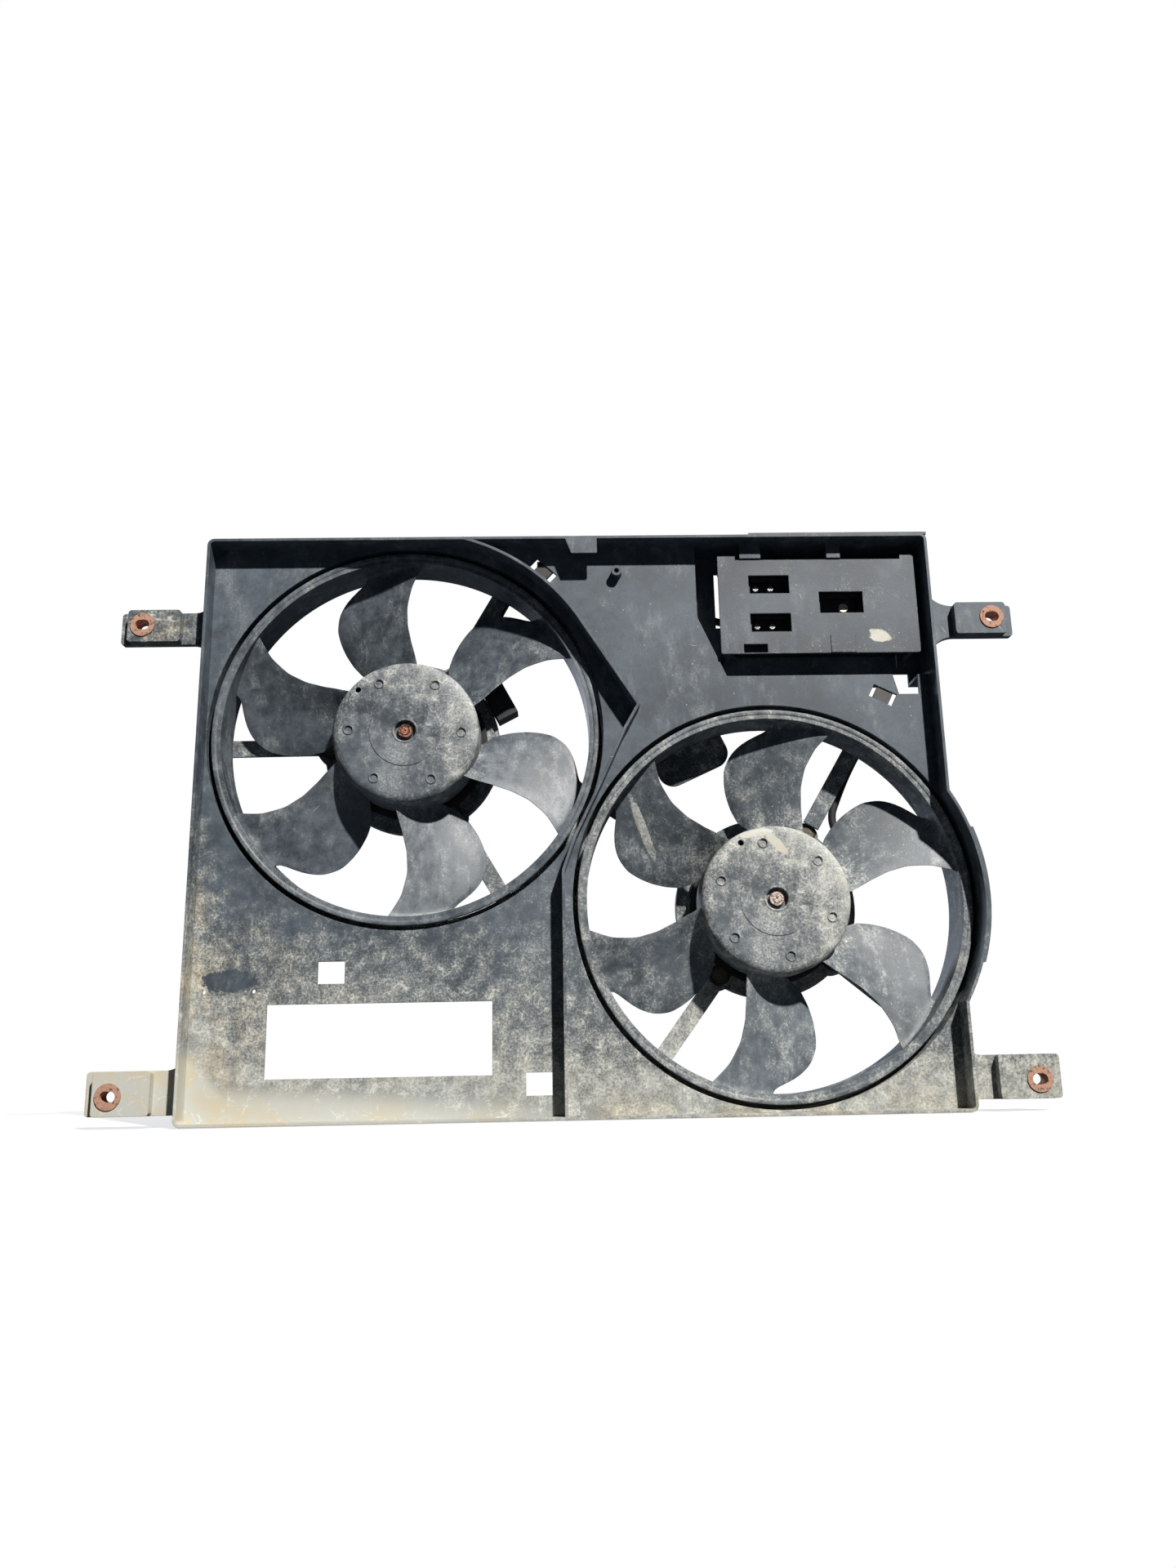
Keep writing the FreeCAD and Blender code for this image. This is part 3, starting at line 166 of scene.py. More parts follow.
# Shroud: one large moulding of glass-filled nylon 66, black when new. Years of sun and road salt
# have bleached it to a slate grey, and dried mud lies in blotches low down and up its left wall.
SMOOTH = {"interpolation_type": "SMOOTHSTEP"}

# Each cloudy pattern of the weathered nylon: its width in mm, its detail and its roughness. The
# mould grain is drawn coarser than the real one, so that it shows.
NYLON_PATTERNS = {
    "bleaching": (80, 5, 0.62),
    "mottling": (12, 6, 0.70),
    "grit": (2.0, 5, 0.75),
    "chafing": (34, 3, 0.55),
    "mud": (46, 7, 0.72),
    "mould grain": (0.9, 3, 0.60),
}


def sun_and_rain(tree, place, patterns, fresh, bleached, film, bleach, film_share):
    """Sunburnt grey in broad clouds over the new colour, and a pale film that ran down and dried."""
    streak_width, streak_stretch = 24 * MM, (1, 1, 0.45)
    # The two patterns add up to about 1, and the clouds differ by the contrast either way.
    reach, contrast = 0.28, 0.34
    worn = add(tree, "Math", {0: patterns["bleaching"], 1: patterns["mottling"]}, operation="ADD")
    worn = add(tree, "MapRange", {"Value": worn, "From Min": 1 - reach, "From Max": 1 + reach,
                                  "To Min": bleach - contrast, "To Max": bleach + contrast}, **SMOOTH)
    colour = add(tree, "Mix", {0: worn, 6: fresh, 7: bleached}, data_type="RGBA")
    pits = add(tree, "MapRange", {"Value": patterns["grit"], "From Min": 0.40, "From Max": 0.62,
                                  "To Max": 0.30}, **SMOOTH)
    colour = add(tree, "Mix", {0: pits, 6: colour, 7: fresh}, data_type="RGBA")
    upright = add(tree, "Mapping", {"Vector": place, "Scale": streak_stretch})
    streaks = add(tree, "TexNoise", {"Vector": upright, "Scale": 1 / streak_width, "Detail": 7,
                                     "Roughness": 0.75})
    streaks = add(tree, "MapRange", {"Value": streaks, "From Min": 0.50, "From Max": 0.66}, **SMOOTH)
    broken = add(tree, "MapRange", {"Value": patterns["grit"], "From Min": 0.38, "From Max": 0.60,
                                    "To Max": film_share}, **SMOOTH)
    wet = add(tree, "Math", {0: streaks, 1: broken}, operation="MULTIPLY")
    return add(tree, "Mix", {0: wet, 6: colour, 7: film}, data_type="RGBA")


def scratches_and_specks(tree, place, patterns, colour, film, mark_share):
    """Thin pale scratches in three directions where the part is chafed, and scattered grit marks."""
    scratch_width, scratch_stretch, scratch_turns = 1.7 * MM, (1, 1, 0.06), (28, -47, 80)
    chafed = add(tree, "MapRange", {"Value": patterns["chafing"], "From Min": 0.50, "From Max": 0.60,
                                    "To Max": mark_share}, **SMOOTH)
    for turn in scratch_turns:
        along = add(tree, "Mapping", {"Vector": place, "Rotation": (0, math.radians(turn), 0)})
        along = add(tree, "Mapping", {"Vector": along, "Scale": scratch_stretch})
        lines = add(tree, "TexNoise", {"Vector": along, "Scale": 1 / scratch_width, "Detail": 2.5,
                                       "Roughness": 0.5})
        lines = add(tree, "MapRange", {"Value": lines, "From Min": 0.715, "From Max": 0.76}, **SMOOTH)
        lines = add(tree, "Math", {0: lines, 1: chafed}, operation="MULTIPLY")
        colour = add(tree, "Mix", {0: lines, 6: colour, 7: film}, data_type="RGBA")
    speck_spacing = 6 * MM
    spots = add(tree, "TexVoronoi", {"Vector": place, "Scale": 1 / speck_spacing})
    inside = add(tree, "MapRange", {"Value": spots.outputs["Distance"], "From Min": 0.14,
                                    "From Max": 0.06, "To Max": mark_share}, **SMOOTH)
    chosen = add(tree, "SeparateColor", {0: spots.outputs["Color"]})
    chosen = add(tree, "MapRange", {"Value": chosen, "From Min": 0.80, "From Max": 0.86}, **SMOOTH)
    specks = add(tree, "Math", {0: inside, 1: chosen}, operation="MULTIPLY")
    return add(tree, "Mix", {0: specks, 6: colour, 7: film}, data_type="RGBA")


def dried_mud(tree, patterns, colour, amount, tan, dust, clay):
    """Dust and clay that dried in blotches. Gives the new colour and where the blotches lie."""
    bare_below, covered_above = 1.90, 2.75
    crust = amount
    for pattern, weight in (("mud", 0.8), ("mottling", 0.9), ("grit", 1.7)):
        crust = add(tree, "Math", {0: patterns[pattern], 1: weight, 2: crust}, operation="MULTIPLY_ADD")
    dusty = add(tree, "MapRange", {"Value": crust, "From Min": bare_below,
                                   "From Max": covered_above}, **SMOOTH)
    brown = add(tree, "MapRange", {"Value": patterns["mud"], "From Min": 0.40, "From Max": 0.60}, **SMOOTH)
    brown = add(tree, "Math", {0: brown, 1: tan}, operation="MULTIPLY")
    soil = add(tree, "Mix", {0: brown, 6: dust, 7: clay}, data_type="RGBA")
    powder = add(tree, "MapRange", {"Value": patterns["grit"], "From Min": 0.38, "From Max": 0.62,
                                    "To Min": 0.52, "To Max": 0.98}, **SMOOTH)
    cloud = add(tree, "MapRange", {"Value": patterns["mottling"], "From Min": 0.38, "From Max": 0.60,
                                   "To Min": 0.6}, **SMOOTH)
    solid = add(tree, "MapRange", {"Value": amount, "From Min": 1.02, "From Max": 1.40,
                                   "To Max": 0.93}, **SMOOTH)
    thick = add(tree, "Math", {0: powder, 1: cloud}, operation="MULTIPLY")
    thick = add(tree, "Math", {0: thick, 1: solid}, operation="MAXIMUM")
    cover = add(tree, "Math", {0: dusty, 1: thick}, operation="MULTIPLY")
    return add(tree, "Mix", {0: cover, 6: colour, 7: soil}, data_type="RGBA"), dusty


def chalky_wisps(tree, place, patterns, colour, amount):
    """Thin curled lines of chalk that stayed where puddles dried."""
    wisp_spacing, curl_width, curl_reach = 13 * MM, 11 * MM, 14 * MM
    curl = add(tree, "TexNoise", {"Vector": place, "Scale": 1 / curl_width, "Detail": 3}).outputs["Color"]
    curled = add(tree, "VectorMath", {0: curl, "Scale": curl_reach}, operation="SCALE")
    curled = add(tree, "VectorMath", {0: place, 1: curled}, operation="ADD")
    cells = add(tree, "TexVoronoi", {"Vector": curled, "Scale": 1 / wisp_spacing},
                feature="DISTANCE_TO_EDGE")
    wisps = add(tree, "MapRange", {"Value": cells, "From Min": 0.055, "From Max": 0.012,
                                   "To Max": 0.65}, **SMOOTH)
    for mask, low, high in ((patterns["mottling"], 0.50, 0.62), (amount, 0.16, 0.62)):
        mask = add(tree, "MapRange", {"Value": mask, "From Min": low, "From Max": high}, **SMOOTH)
        wisps = add(tree, "Math", {0: wisps, 1: mask}, operation="MULTIPLY")
    return add(tree, "Mix", {0: wisps, 6: colour, 7: linear("d3d3ca")}, data_type="RGBA")


def weathered_nylon(name, fresh, bleached, film, dust, clay, dusty_where, bleach, film_share,
                    mark_share=0.5, roughness=0.52):
    """Glass-filled nylon: sun bleaching, a pale water film, scratches, specks and blotches of mud.

    bleach is the mean share of the bleached colour, and film_share and mark_share say how strongly
    the film and the scratches show. dusty_where gives the amount of mud and how tan it is; for the
    rotors that amount also holds a painted highlight on the hub.
    """
    edge_radius, relief = 0.9 * MM, 0.22 * MM
    mud_relief, mud_roughness, roughness_range = 1.8, 0.28, 0.14
    material, tree = empty_material(name)
    place = add(tree, "TexCoord").outputs["Object"]
    patterns = {}
    for pattern, (width, detail, rough) in NYLON_PATTERNS.items():
        patterns[pattern] = add(tree, "TexNoise", {"Vector": place, "Scale": 1 / (width * MM),
                                                   "Detail": detail, "Roughness": rough})
    fresh, film = linear(fresh), linear(film)
    colour = sun_and_rain(tree, place, patterns, fresh, linear(bleached), film, bleach, film_share)
    colour = scratches_and_specks(tree, place, patterns, colour, film, mark_share)
    amount, tan = dusty_where(tree, place)
    colour, dusty = dried_mud(tree, patterns, colour, amount, tan, linear(dust), linear(clay))
    colour = chalky_wisps(tree, place, patterns, colour, amount)
    height = add(tree, "Math", {0: dusty, 1: mud_relief, 2: patterns["mould grain"]},
                 operation="MULTIPLY_ADD")
    rounded = add(tree, "Bevel", {"Radius": edge_radius}, samples=3)
    bump = add(tree, "Bump", {"Height": height, "Distance": relief, "Strength": 0.5, "Normal": rounded})
    rough = add(tree, "MapRange", {"Value": patterns["mottling"], "From Min": 0.3, "From Max": 0.7,
                                   "To Min": roughness,
                                   "To Max": roughness + roughness_range}, **SMOOTH)
    rough = add(tree, "Math", {0: dusty, 1: mud_roughness, 2: rough}, operation="MULTIPLY_ADD")
    shader = add(tree, "BsdfPrincipled", {"Base Color": colour, "Roughness": rough, "IOR": 1.53,
                                          "Specular IOR Level": 0.42, "Normal": bump})
    add(tree, "OutputMaterial", {"Surface": shader})
    return material


def ragged_spot(tree, place, middle, half, turn=0, grain=5, most=1.0):
    """A mark with a torn outline; its middle and half sizes are (x, z) in mm.

    The distance is 1 at the half sizes, and noise of about a half is added to it before it is cut.
    """
    inside, outside = 1.30, 1.65
    away = add(tree, "VectorMath", {0: place, 1: (middle[0] * MM, 0, middle[1] * MM)},
               operation="SUBTRACT")
    away = add(tree, "Mapping", {"Vector": away, "Rotation": (0, math.radians(turn), 0)})
    away = add(tree, "VectorMath", {0: away, 1: (1 / (half[0] * MM), 0, 1 / (half[1] * MM))},
               operation="MULTIPLY")
    away = add(tree, "VectorMath", {0: away}, operation="LENGTH")
    torn = add(tree, "TexNoise", {"Vector": place, "Scale": 1 / (grain * MM), "Detail": 3,
                                  "Roughness": 0.6})
    away = add(tree, "Math", {0: away, 1: torn}, operation="ADD")
    return add(tree, "MapRange", {"Value": away, "From Min": outside, "From Max": inside,
                                  "To Max": most}, **SMOOTH)


# Where mud lies on the tray. Each place is the product of its bands, and a band runs along one
# axis from where it gives the first amount to where it gives the second, in mm.
TRAY_MUD = {
    "low down, more to the left": (("Z", 30, -200, 0, 1), ("X", 160, -300, 0.52, 0.84)),
    "bottom edge": (("Z", -155, -225, 0, 0.62),),
    "left wall": (("X", -285, -322, 0, 1), ("Z", 160, -60, 0, 0.42)),
    "left ears": (("X", -322, -335, 0, 1), ("Z", 250, -150, 0.48, 0.95)),
    "upper right ear": (("X", 322, 335, 0, 1), ("Z", 100, -100, 0.05, 0)),
    "behind the fans": (("Y", 34, 52, 0, 0.42),),
}


def band(tree, place, axis, start, end, first, second):
    """An amount that changes along one axis between two places in mm."""
    along = add(tree, "SeparateXYZ", {0: place}).outputs[axis]
    return add(tree, "MapRange", {"Value": along, "From Min": start * MM, "From Max": end * MM,
                                  "To Min": first, "To Max": second}, **SMOOTH)


def tray_dust(tree, place):
    """The tray's mud, with a dark patch on the lower left panel that something has wiped clean."""
    amount = ragged_spot(tree, place, (-287.5, -110.0), (21, 8.5), most=-1.5)
    for bands in TRAY_MUD.values():
        share = band(tree, place, *bands[0])
        for more in bands[1:]:
            share = add(tree, "Math", {0: share, 1: band(tree, place, *more)}, operation="MULTIPLY")
        amount = add(tree, "Math", {0: amount, 1: share}, operation="ADD")
    tan = add(tree, "Math", {0: band(tree, place, "X", -200, -340, 0.2, 0.9),
                             1: band(tree, place, "Z", -200, -230, 0, 0.5)}, operation="ADD")
    return amount, tan


def dress(node, material):
    """Gives a finished piece its surface."""
    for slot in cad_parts[node].material_slots:
        slot.material = material


dress("shroud", weathered_nylon(
    "bleached nylon 66 tray", fresh="272f37", bleached="57636e", film="b2b8ba", dust="bbbeb8",
    clay="c2b8a0", dusty_where=tray_dust, bleach=0.47, film_share=0.26))


# Ear bushes: four steel sleeves pressed into the ears for the car's bolts. They are unplated, and
# rusted all over: a matt brown crust with paler orange patches.
def metal(name, colour, second, rough, grain=2.0, metallic=1.0, share=0.4, bump=0.3):
    """Bare or plated metal with a second colour in patches about grain mm wide.

    share says how far the patches spread. They are rougher than the metal between them.
    """
    patch_start, patch_edge, patch_roughness = 0.62 - share * 0.4, 0.1, 0.3
    edge_radius, relief = 0.4 * MM, 0.2 * MM
    material, tree = empty_material(name)
    place = add(tree, "TexCoord").outputs["Object"]
    patches = add(tree, "TexNoise", {"Vector": place, "Scale": 1 / (grain * MM), "Detail": 6,
                                     "Roughness": 0.7})
    patches = add(tree, "MapRange", {"Value": patches, "From Min": patch_start,
                                     "From Max": patch_start + patch_edge}, **SMOOTH)
    colour = add(tree, "Mix", {0: patches, 6: linear(colour), 7: linear(second)}, data_type="RGBA")
    height = add(tree, "TexNoise", {"Vector": place, "Scale": 3 / (grain * MM), "Detail": 5,
                                    "Roughness": 0.7})
    rounded = add(tree, "Bevel", {"Radius": edge_radius}, samples=3)
    normal = add(tree, "Bump", {"Height": height, "Distance": relief, "Strength": bump,
                                "Normal": rounded})
    shine = add(tree, "Math", {0: patches, 1: -metallic, 2: metallic}, operation="MULTIPLY_ADD")
    roughness = add(tree, "Math", {0: patches, 1: patch_roughness, 2: rough}, operation="MULTIPLY_ADD")
    shader = add(tree, "BsdfPrincipled", {"Base Color": colour, "Metallic": shine,
                                          "Roughness": roughness, "Normal": normal})
    add(tree, "OutputMaterial", {"Surface": shader})
    return material


dress("ear_bushes", metal("rusted steel bush", "4a2b1e", "ac8672", 0.65, grain=3.4, metallic=0.4,
                          share=0.62, bump=0.9))


# Module cover: a thin moulded plate of the same nylon with three large windows, clipped into the
# bay. It is less bleached than the tray, with a thin haze of dust and one chalky scuff.
def light_dust(tree, place):
    """A haze in broad clouds, and the scuff low on the right."""
    cloud_width, tan = 60 * MM, 0.25
    haze = add(tree, "TexNoise", {"Vector": place, "Scale": 1 / cloud_width, "Detail": 3,
                                  "Roughness": 0.55})
    haze = add(tree, "MapRange", {"Value": haze, "From Min": 0.3, "From Max": 0.7, "To Min": 0.02,
                                  "To Max": 0.26}, **SMOOTH)
    scuff = ragged_spot(tree, place, (275.6, 185.3), (9.5, 6.2), turn=-15, most=1.2)
    return add(tree, "Math", {0: haze, 1: scuff}, operation="ADD"), tan


dress("module_cover", weathered_nylon(
    "bleached nylon 66 cover", fresh="292f37", bleached="58626c", film="b0b6b8", dust="c6c6bd",
    clay="bdb29c", dusty_where=light_dust, bleach=0.45, film_share=0.16))


# Control module: a housing of black polyester in the bay, with tinned terminals in its front wells
# and screws that hold it. Only what the cover's windows show can be seen from the front.
def moulded_black(name, colour, second, rough=0.5):
    """A moulded or dipped dark surface with a fine grain and a faint cloud of a second colour."""
    cloud_width, grain_width, edge_radius, relief = 12 * MM, 0.7 * MM, 0.7 * MM, 0.2 * MM
    material, tree = empty_material(name)
    place = add(tree, "TexCoord").outputs["Object"]
    cloud = add(tree, "TexNoise", {"Vector": place, "Scale": 1 / cloud_width, "Detail": 5,
                                   "Roughness": 0.6})
    cloud = add(tree, "MapRange", {"Value": cloud, "From Min": 0.35, "From Max": 0.7}, **SMOOTH)
    colour = add(tree, "Mix", {0: cloud, 6: linear(colour), 7: linear(second)}, data_type="RGBA")
    grain = add(tree, "TexNoise", {"Vector": place, "Scale": 1 / grain_width, "Detail": 3,
                                   "Roughness": 0.6})
    rounded = add(tree, "Bevel", {"Radius": edge_radius}, samples=3)
    normal = add(tree, "Bump", {"Height": grain, "Distance": relief, "Strength": 0.35,
                                "Normal": rounded})
    shader = add(tree, "BsdfPrincipled", {"Base Color": colour, "Roughness": rough, "IOR": 1.5,
                                          "Normal": normal})
    add(tree, "OutputMaterial", {"Surface": shader})
    return material


# The terminals are dull silver with darker tarnish, and the zinc of the screws is bright and warm.
dress("control_module", moulded_black("black polyester housing", "17191c", "26292d"))
dress("module_pins", metal("tinned terminal", "8a8d8e", "5c5f62", 0.45, grain=1.2))
dress("module_screws", metal("zinc plated screw", "dcdad2", "a89f8c", 0.4, grain=1.5))


# Fan rotors: hub cup, six swept blades and the band round their tips, moulded in one. The same
# moulding is used on both motors. The right one has weathered paler than the left one.
RING_STEPS = 144
BLADES = 6
hub_radius = 64 * MM
hub_front = 4 * MM
hub_back = 44 * MM
band_bore = 160.5 * MM
band_outside = 168.5 * MM


def turn_profile(bm, profile):
    """Turns a closed profile of (depth, radius) points round the Y axis."""
    rings = []
    for depth, radius in profile:
        ring = []
        for step in range(RING_STEPS):
            angle = 2 * math.pi * step / RING_STEPS
            ring.append(bm.verts.new((radius * math.cos(angle), depth, radius * math.sin(angle))))
        rings.append(ring)
    for ring, following in zip(rings, rings[1:] + rings[:1]):
        for step in range(RING_STEPS):
            after = (step + 1) % RING_STEPS
            bm.faces.new((ring[step], ring[after], following[after], following[step]))


def rounded_corner(centre, radius, start, end, steps=6):
    """Points of an arc in a profile; angles in degrees from the depth axis towards the radius."""
    for step in range(steps + 1):
        angle = math.radians(start + (end - start) * step / steps)
        yield centre[0] + radius * math.cos(angle), centre[1] + radius * math.sin(angle)


def hub_profile():
    """The hub cup: a flat face with a slightly sunken disc, a rounded rim and a boss at its middle."""
    wall, rounding, recess, recess_depth = 2.5 * MM, 8 * MM, 9 * MM, 4 * MM
    disc_radius, disc_step, disc_slope = 31 * MM, 0.5 * MM, 0.5 * MM
    seat, boss, boss_back = 6.5 * MM, 15 * MM, 11 * MM
    recess_edge, back_edge = 0.4 * MM, 0.5 * MM
    disc = hub_front - disc_step
    yield from ((hub_front + recess_depth, seat), (hub_front + recess_depth, recess))
    yield from ((disc + recess_edge, recess), (disc, recess + recess_edge))
    yield from ((disc, disc_radius), (hub_front, disc_radius + disc_slope))
    yield from rounded_corner((hub_front + rounding, hub_radius - rounding), rounding, 180, 90)
    yield from ((hub_back - back_edge, hub_radius), (hub_back, hub_radius - back_edge))
    yield hub_back, hub_radius - wall
    inner = rounding - wall
    yield from rounded_corner((hub_front + rounding, hub_radius - rounding), inner, 90, 180)
    yield from ((hub_front + wall, boss), (boss_back, boss), (boss_back, seat))


def band_profile():
    """The band: a thin ring with a wider front flange, whose inner edge is stepped and chamfered."""
    front, back, plate, flange_edge = 10 * MM, 50 * MM, 2.5 * MM, 0.9 * MM
    step_depth, step_reach, step_edge, chamfer = 0.8 * MM, 3.6 * MM, 0.6 * MM, 1.2 * MM
    step_end = band_bore + step_reach + 2 * step_edge
    yield from ((front + step_depth, band_bore), (front + step_depth, band_bore + step_reach))
    yield from ((front + step_depth - step_edge, step_end - step_edge), (front, step_end))
    corner = (front + flange_edge, band_outside - flange_edge)
    yield from rounded_corner(corner, flange_edge, 180, 90, steps=4)
    yield from ((front + plate, band_outside), (front + plate, band_bore + plate + chamfer))
    yield from ((front + plate + chamfer, band_bore + plate), (back, band_bore + plate))
    yield back, band_bore


# Angles in degrees of a blade's two edges, at shares of the way from the hub to the band.
LEADING = [(0, -4), (0.12, -0.4), (0.25, 2.9), (0.417, 5.3), (0.6, 5.6), (0.8, 3.6), (1, -0.3)]
TRAILING = [(0, 28.5), (0.06, 34), (0.159, 39.4), (0.3, 40.6), (0.436, 40.2), (0.55, 39.0),
            (0.664, 37.2), (0.774, 33.4), (0.82, 30.8), (0.87, 27.2), (0.91, 22.9), (0.94, 19.5),
            (1, 19)]


def edge_angle(share, points):
    """A blade edge's angle in degrees at a share of the way from hub to band."""
    for (low, first), (high, second) in zip(points, points[1:]):
        if share <= high:
            return first + (second - first) * (share - low) / (high - low)
    return points[-1][1]


def smooth_edge(share, points):
    """The edge through its points as one flowing curve: a weighted mean of the angles around."""
    reach, spread, spacing = 6, 3, 0.045 / 4
    total = weight = 0
    for step in range(-reach, reach + 1):
        pull = math.exp(-(step / spread) ** 2)
        total += edge_angle(min(max(share + step * spacing, 0), 1), points) * pull
        weight += pull
    return total / weight


def blade_mesh(bm, turn):
    """One blade: a thin swept and cambered plate, thicker where it runs into hub and band."""
    along, across = 40, 18
    root, tip = 61 * MM, 161.6 * MM
    front, rake, camber, thickness = 14 * MM, 28 * MM, 2.2 * MM, 2.6 * MM
    rake_span = 34
    thin_edge, edge_growth = 0.35, 3.2
    root_fillet, tip_fillet, fillet_height, fillet_limit = 1.8 * MM, 1.5 * MM, 1.3 * MM, 1.6
    grid = {}
    for side in (-1, 1):
        for row in range(along + 1):
            share = row / along
            radius = root + (tip - root) * share
            first = smooth_edge(share, LEADING)
            last = smooth_edge(share, TRAILING)
            flare = math.exp(-(radius - hub_radius) / root_fillet)
            flare += math.exp(-(band_bore - radius) / tip_fillet)
            for column in range(across + 1):
                part = column / across
                angle = first + (last - first) * part
                rise = angle / rake_span
                bend = camber * math.sin(math.pi * min(max(rise, 0), 1))
                middle = front + rake * rise + bend + thickness / 2
                fullness = min(1, math.sin(math.pi * part) * edge_growth)
                half = thickness / 2 * (thin_edge + (1 - thin_edge) * fullness)
                half += min(flare, fillet_limit) * fillet_height
                spin = math.radians(angle + turn)
                grid[side, row, column] = bm.verts.new(
                    (radius * math.cos(spin), middle + half * side, radius * math.sin(spin)))
    for row in range(along):
        for column in range(across):
            for side in (-1, 1):
                bm.faces.new([grid[side, row, column], grid[side, row + 1, column],
                              grid[side, row + 1, column + 1], grid[side, row, column + 1]])
    rim = [(0, column) for column in range(across)] + [(row, across) for row in range(along)]
    rim += [(along, column) for column in range(across, 0, -1)]
    rim += [(row, 0) for row in range(along, 0, -1)]
    for here, after in zip(rim, rim[1:] + rim[:1]):
        bm.faces.new([grid[-1, *here], grid[-1, *after], grid[1, *after], grid[1, *here]])


def plain_object(name, bm):
    """A bmesh as an object that is only used up in the making."""
    mesh = bpy.data.meshes.new(name)
    bm.to_mesh(mesh)
    bm.free()
    item = bpy.data.objects.new(name, mesh)
    bpy.context.scene.collection.objects.link(item)
    return item


def cut_away(piece, cutter):
    """Cuts one mesh out of another for good."""
    modifier = piece.modifiers.new("cut", "BOOLEAN")
    modifier.object = cutter
    modifier.solver = "EXACT"
    bpy.context.view_layer.update()
    shape = bpy.data.meshes.new_from_object(piece.evaluated_get(bpy.context.evaluated_depsgraph_get()))
    piece.modifiers.clear()
    piece.data = shape
    bpy.data.objects.remove(cutter)


def polar(radius, angle):
    """The (x, z) place at a radius and an angle in degrees."""
    return radius * math.cos(math.radians(angle)), radius * math.sin(math.radians(angle))


def pegs(places, radius, start, end):
    """Short rods along Y at (x, z) places, as one mesh."""
    bm = bmesh.new()
    for x, z in places:
        upright = Matrix.Rotation(math.radians(90), 4, "X")
        turned = Matrix.Translation((x, (start + end) / 2, z)) @ upright
        bmesh.ops.create_cone(bm, cap_ends=True, segments=24, radius1=radius, radius2=radius,
                              depth=end - start, matrix=turned)
    return bm


def ring_bead(bm, middle, radius, bead, steps=28):
    """A small round bead that stands half out of the hub's face round a middle."""
    turns = 8
    rings = []
    for step in range(steps):
        angle = 2 * math.pi * step / steps
        ring = []
        for turn in range(turns):
            spin = 2 * math.pi * turn / turns
            reach = radius + bead * math.cos(spin)
            ring.append(bm.verts.new((middle[0] + reach * math.cos(angle),
                                      hub_front + bead * math.sin(spin),
                                      middle[1] + reach * math.sin(angle))))
        rings.append(ring)
    for ring, following in zip(rings, rings[1:] + rings[:1]):
        for turn in range(turns):
            after = (turn + 1) % turns
            bm.faces.new((ring[turn], ring[after], following[after], following[turn]))


def moulded_hub(start):
    """The hub cup with its six dimples, each in a raised ring, and one drain hole near the rim."""
    dimple_circle, dimple_turn, dimple_radius, dimple_depth = 49 * MM, 32.7, 3.2 * MM, 0.9 * MM
    dimple_ring, dimple_bead = 4.0 * MM, 0.7 * MM
    drain_circle, drain_turn, drain_radius, drain_length = 56 * MM, 112.2, 2.6 * MM, 20 * MM
    recess_ring, recess_bead = 10.2 * MM, 1.0 * MM
    dimples = [polar(dimple_circle, start + dimple_turn + 360 / BLADES * index)
               for index in range(BLADES)]
    bm = bmesh.new()
    turn_profile(bm, list(hub_profile()))
    hub = plain_object("hub", bm)
    cut_away(hub, plain_object("dimples", pegs(dimples, dimple_radius, 0, hub_front + dimple_depth)))
    drain = polar(drain_circle, start + drain_turn)
    cut_away(hub, plain_object("drain", pegs([drain], drain_radius, 0, drain_length)))
    bm = bmesh.new()
    bm.from_mesh(hub.data)
    bpy.data.objects.remove(hub)
    for dimple in dimples:
        ring_bead(bm, dimple, dimple_ring, dimple_bead)
    ring_bead(bm, (0, 0), recess_ring, recess_bead, steps=96)
    return bm


def new_mesh(name, bm, place, body, material):
    """Turns a bmesh into a piece with smooth shading, which rides on a body."""
    sharp_over = 35
    bmesh.ops.recalc_face_normals(bm, faces=bm.faces)
    mesh = bpy.data.meshes.new(name)
    bm.to_mesh(mesh)
    bm.free()
    mesh.shade_smooth()
    mesh.set_sharp_from_angle(angle=math.radians(sharp_over))
    mesh.materials.append(material)
    piece = bpy.data.objects.new(name, mesh)
    piece.location = place
    bpy.context.scene.collection.objects.link(piece)
    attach(piece, body)
    return piece


def round_the_hub(tree, place, haze, roots):
    """Dust on a rotor: a haze, more at the blade roots and the band, and a painted highlight on the hub's
    face that grows towards its upper right.
    """
    face_dust, highlight_growth = 0.34, 4.6
    flat = add(tree, "VectorMath", {0: place, 1: (1, 0, 1)}, operation="MULTIPLY")
    radius = add(tree, "VectorMath", {0: flat}, operation="LENGTH")
    # Painted highlight: the hub face's pale share grows towards the upper right, the side the main lamp
    # lights, and thins towards the lower left, over an even share of dust.
    highlight_up_right = add(tree, "VectorMath", {0: place, 1: (highlight_growth, 0, highlight_growth)}, operation="DOT_PRODUCT")
    face_dust_and_highlight = add(tree, "Math", {0: highlight_up_right, 1: face_dust}, operation="ADD")
    # Each ring of dust starts at one radius in mm and has come to its full amount at the other.
    spans = {"hub rim": (50, 63, 1), "blade roots": (92, 66, roots), "hub face": (66, 62, 1),
             "band": (155, 163, roots * 0.6), "sunken disc": (31.5, 30.5, -0.12)}
    rings = {}
    for ring, (start, end, most) in spans.items():
        rings[ring] = add(tree, "MapRange", {"Value": radius, "From Min": start * MM,
                                             "From Max": end * MM, "To Max": most}, **SMOOTH)
    amount = add(tree, "Math", {0: rings["band"], 1: haze}, operation="ADD")
    amount = add(tree, "Math", {0: amount, 1: rings["sunken disc"]}, operation="ADD")
    for first, second in ((rings["hub rim"], rings["blade roots"]), (rings["hub face"], face_dust_and_highlight)):
        amount = add(tree, "Math", {0: first, 1: second, 2: amount}, operation="MULTIPLY_ADD")
    return amount


def thin_dust_and_highlight(tree, place):
    """The left rotor's dust, grey and thin, with the painted highlight on its hub."""
    tan = 0.2
    return round_the_hub(tree, place, haze=0.08, roots=0.22), tan


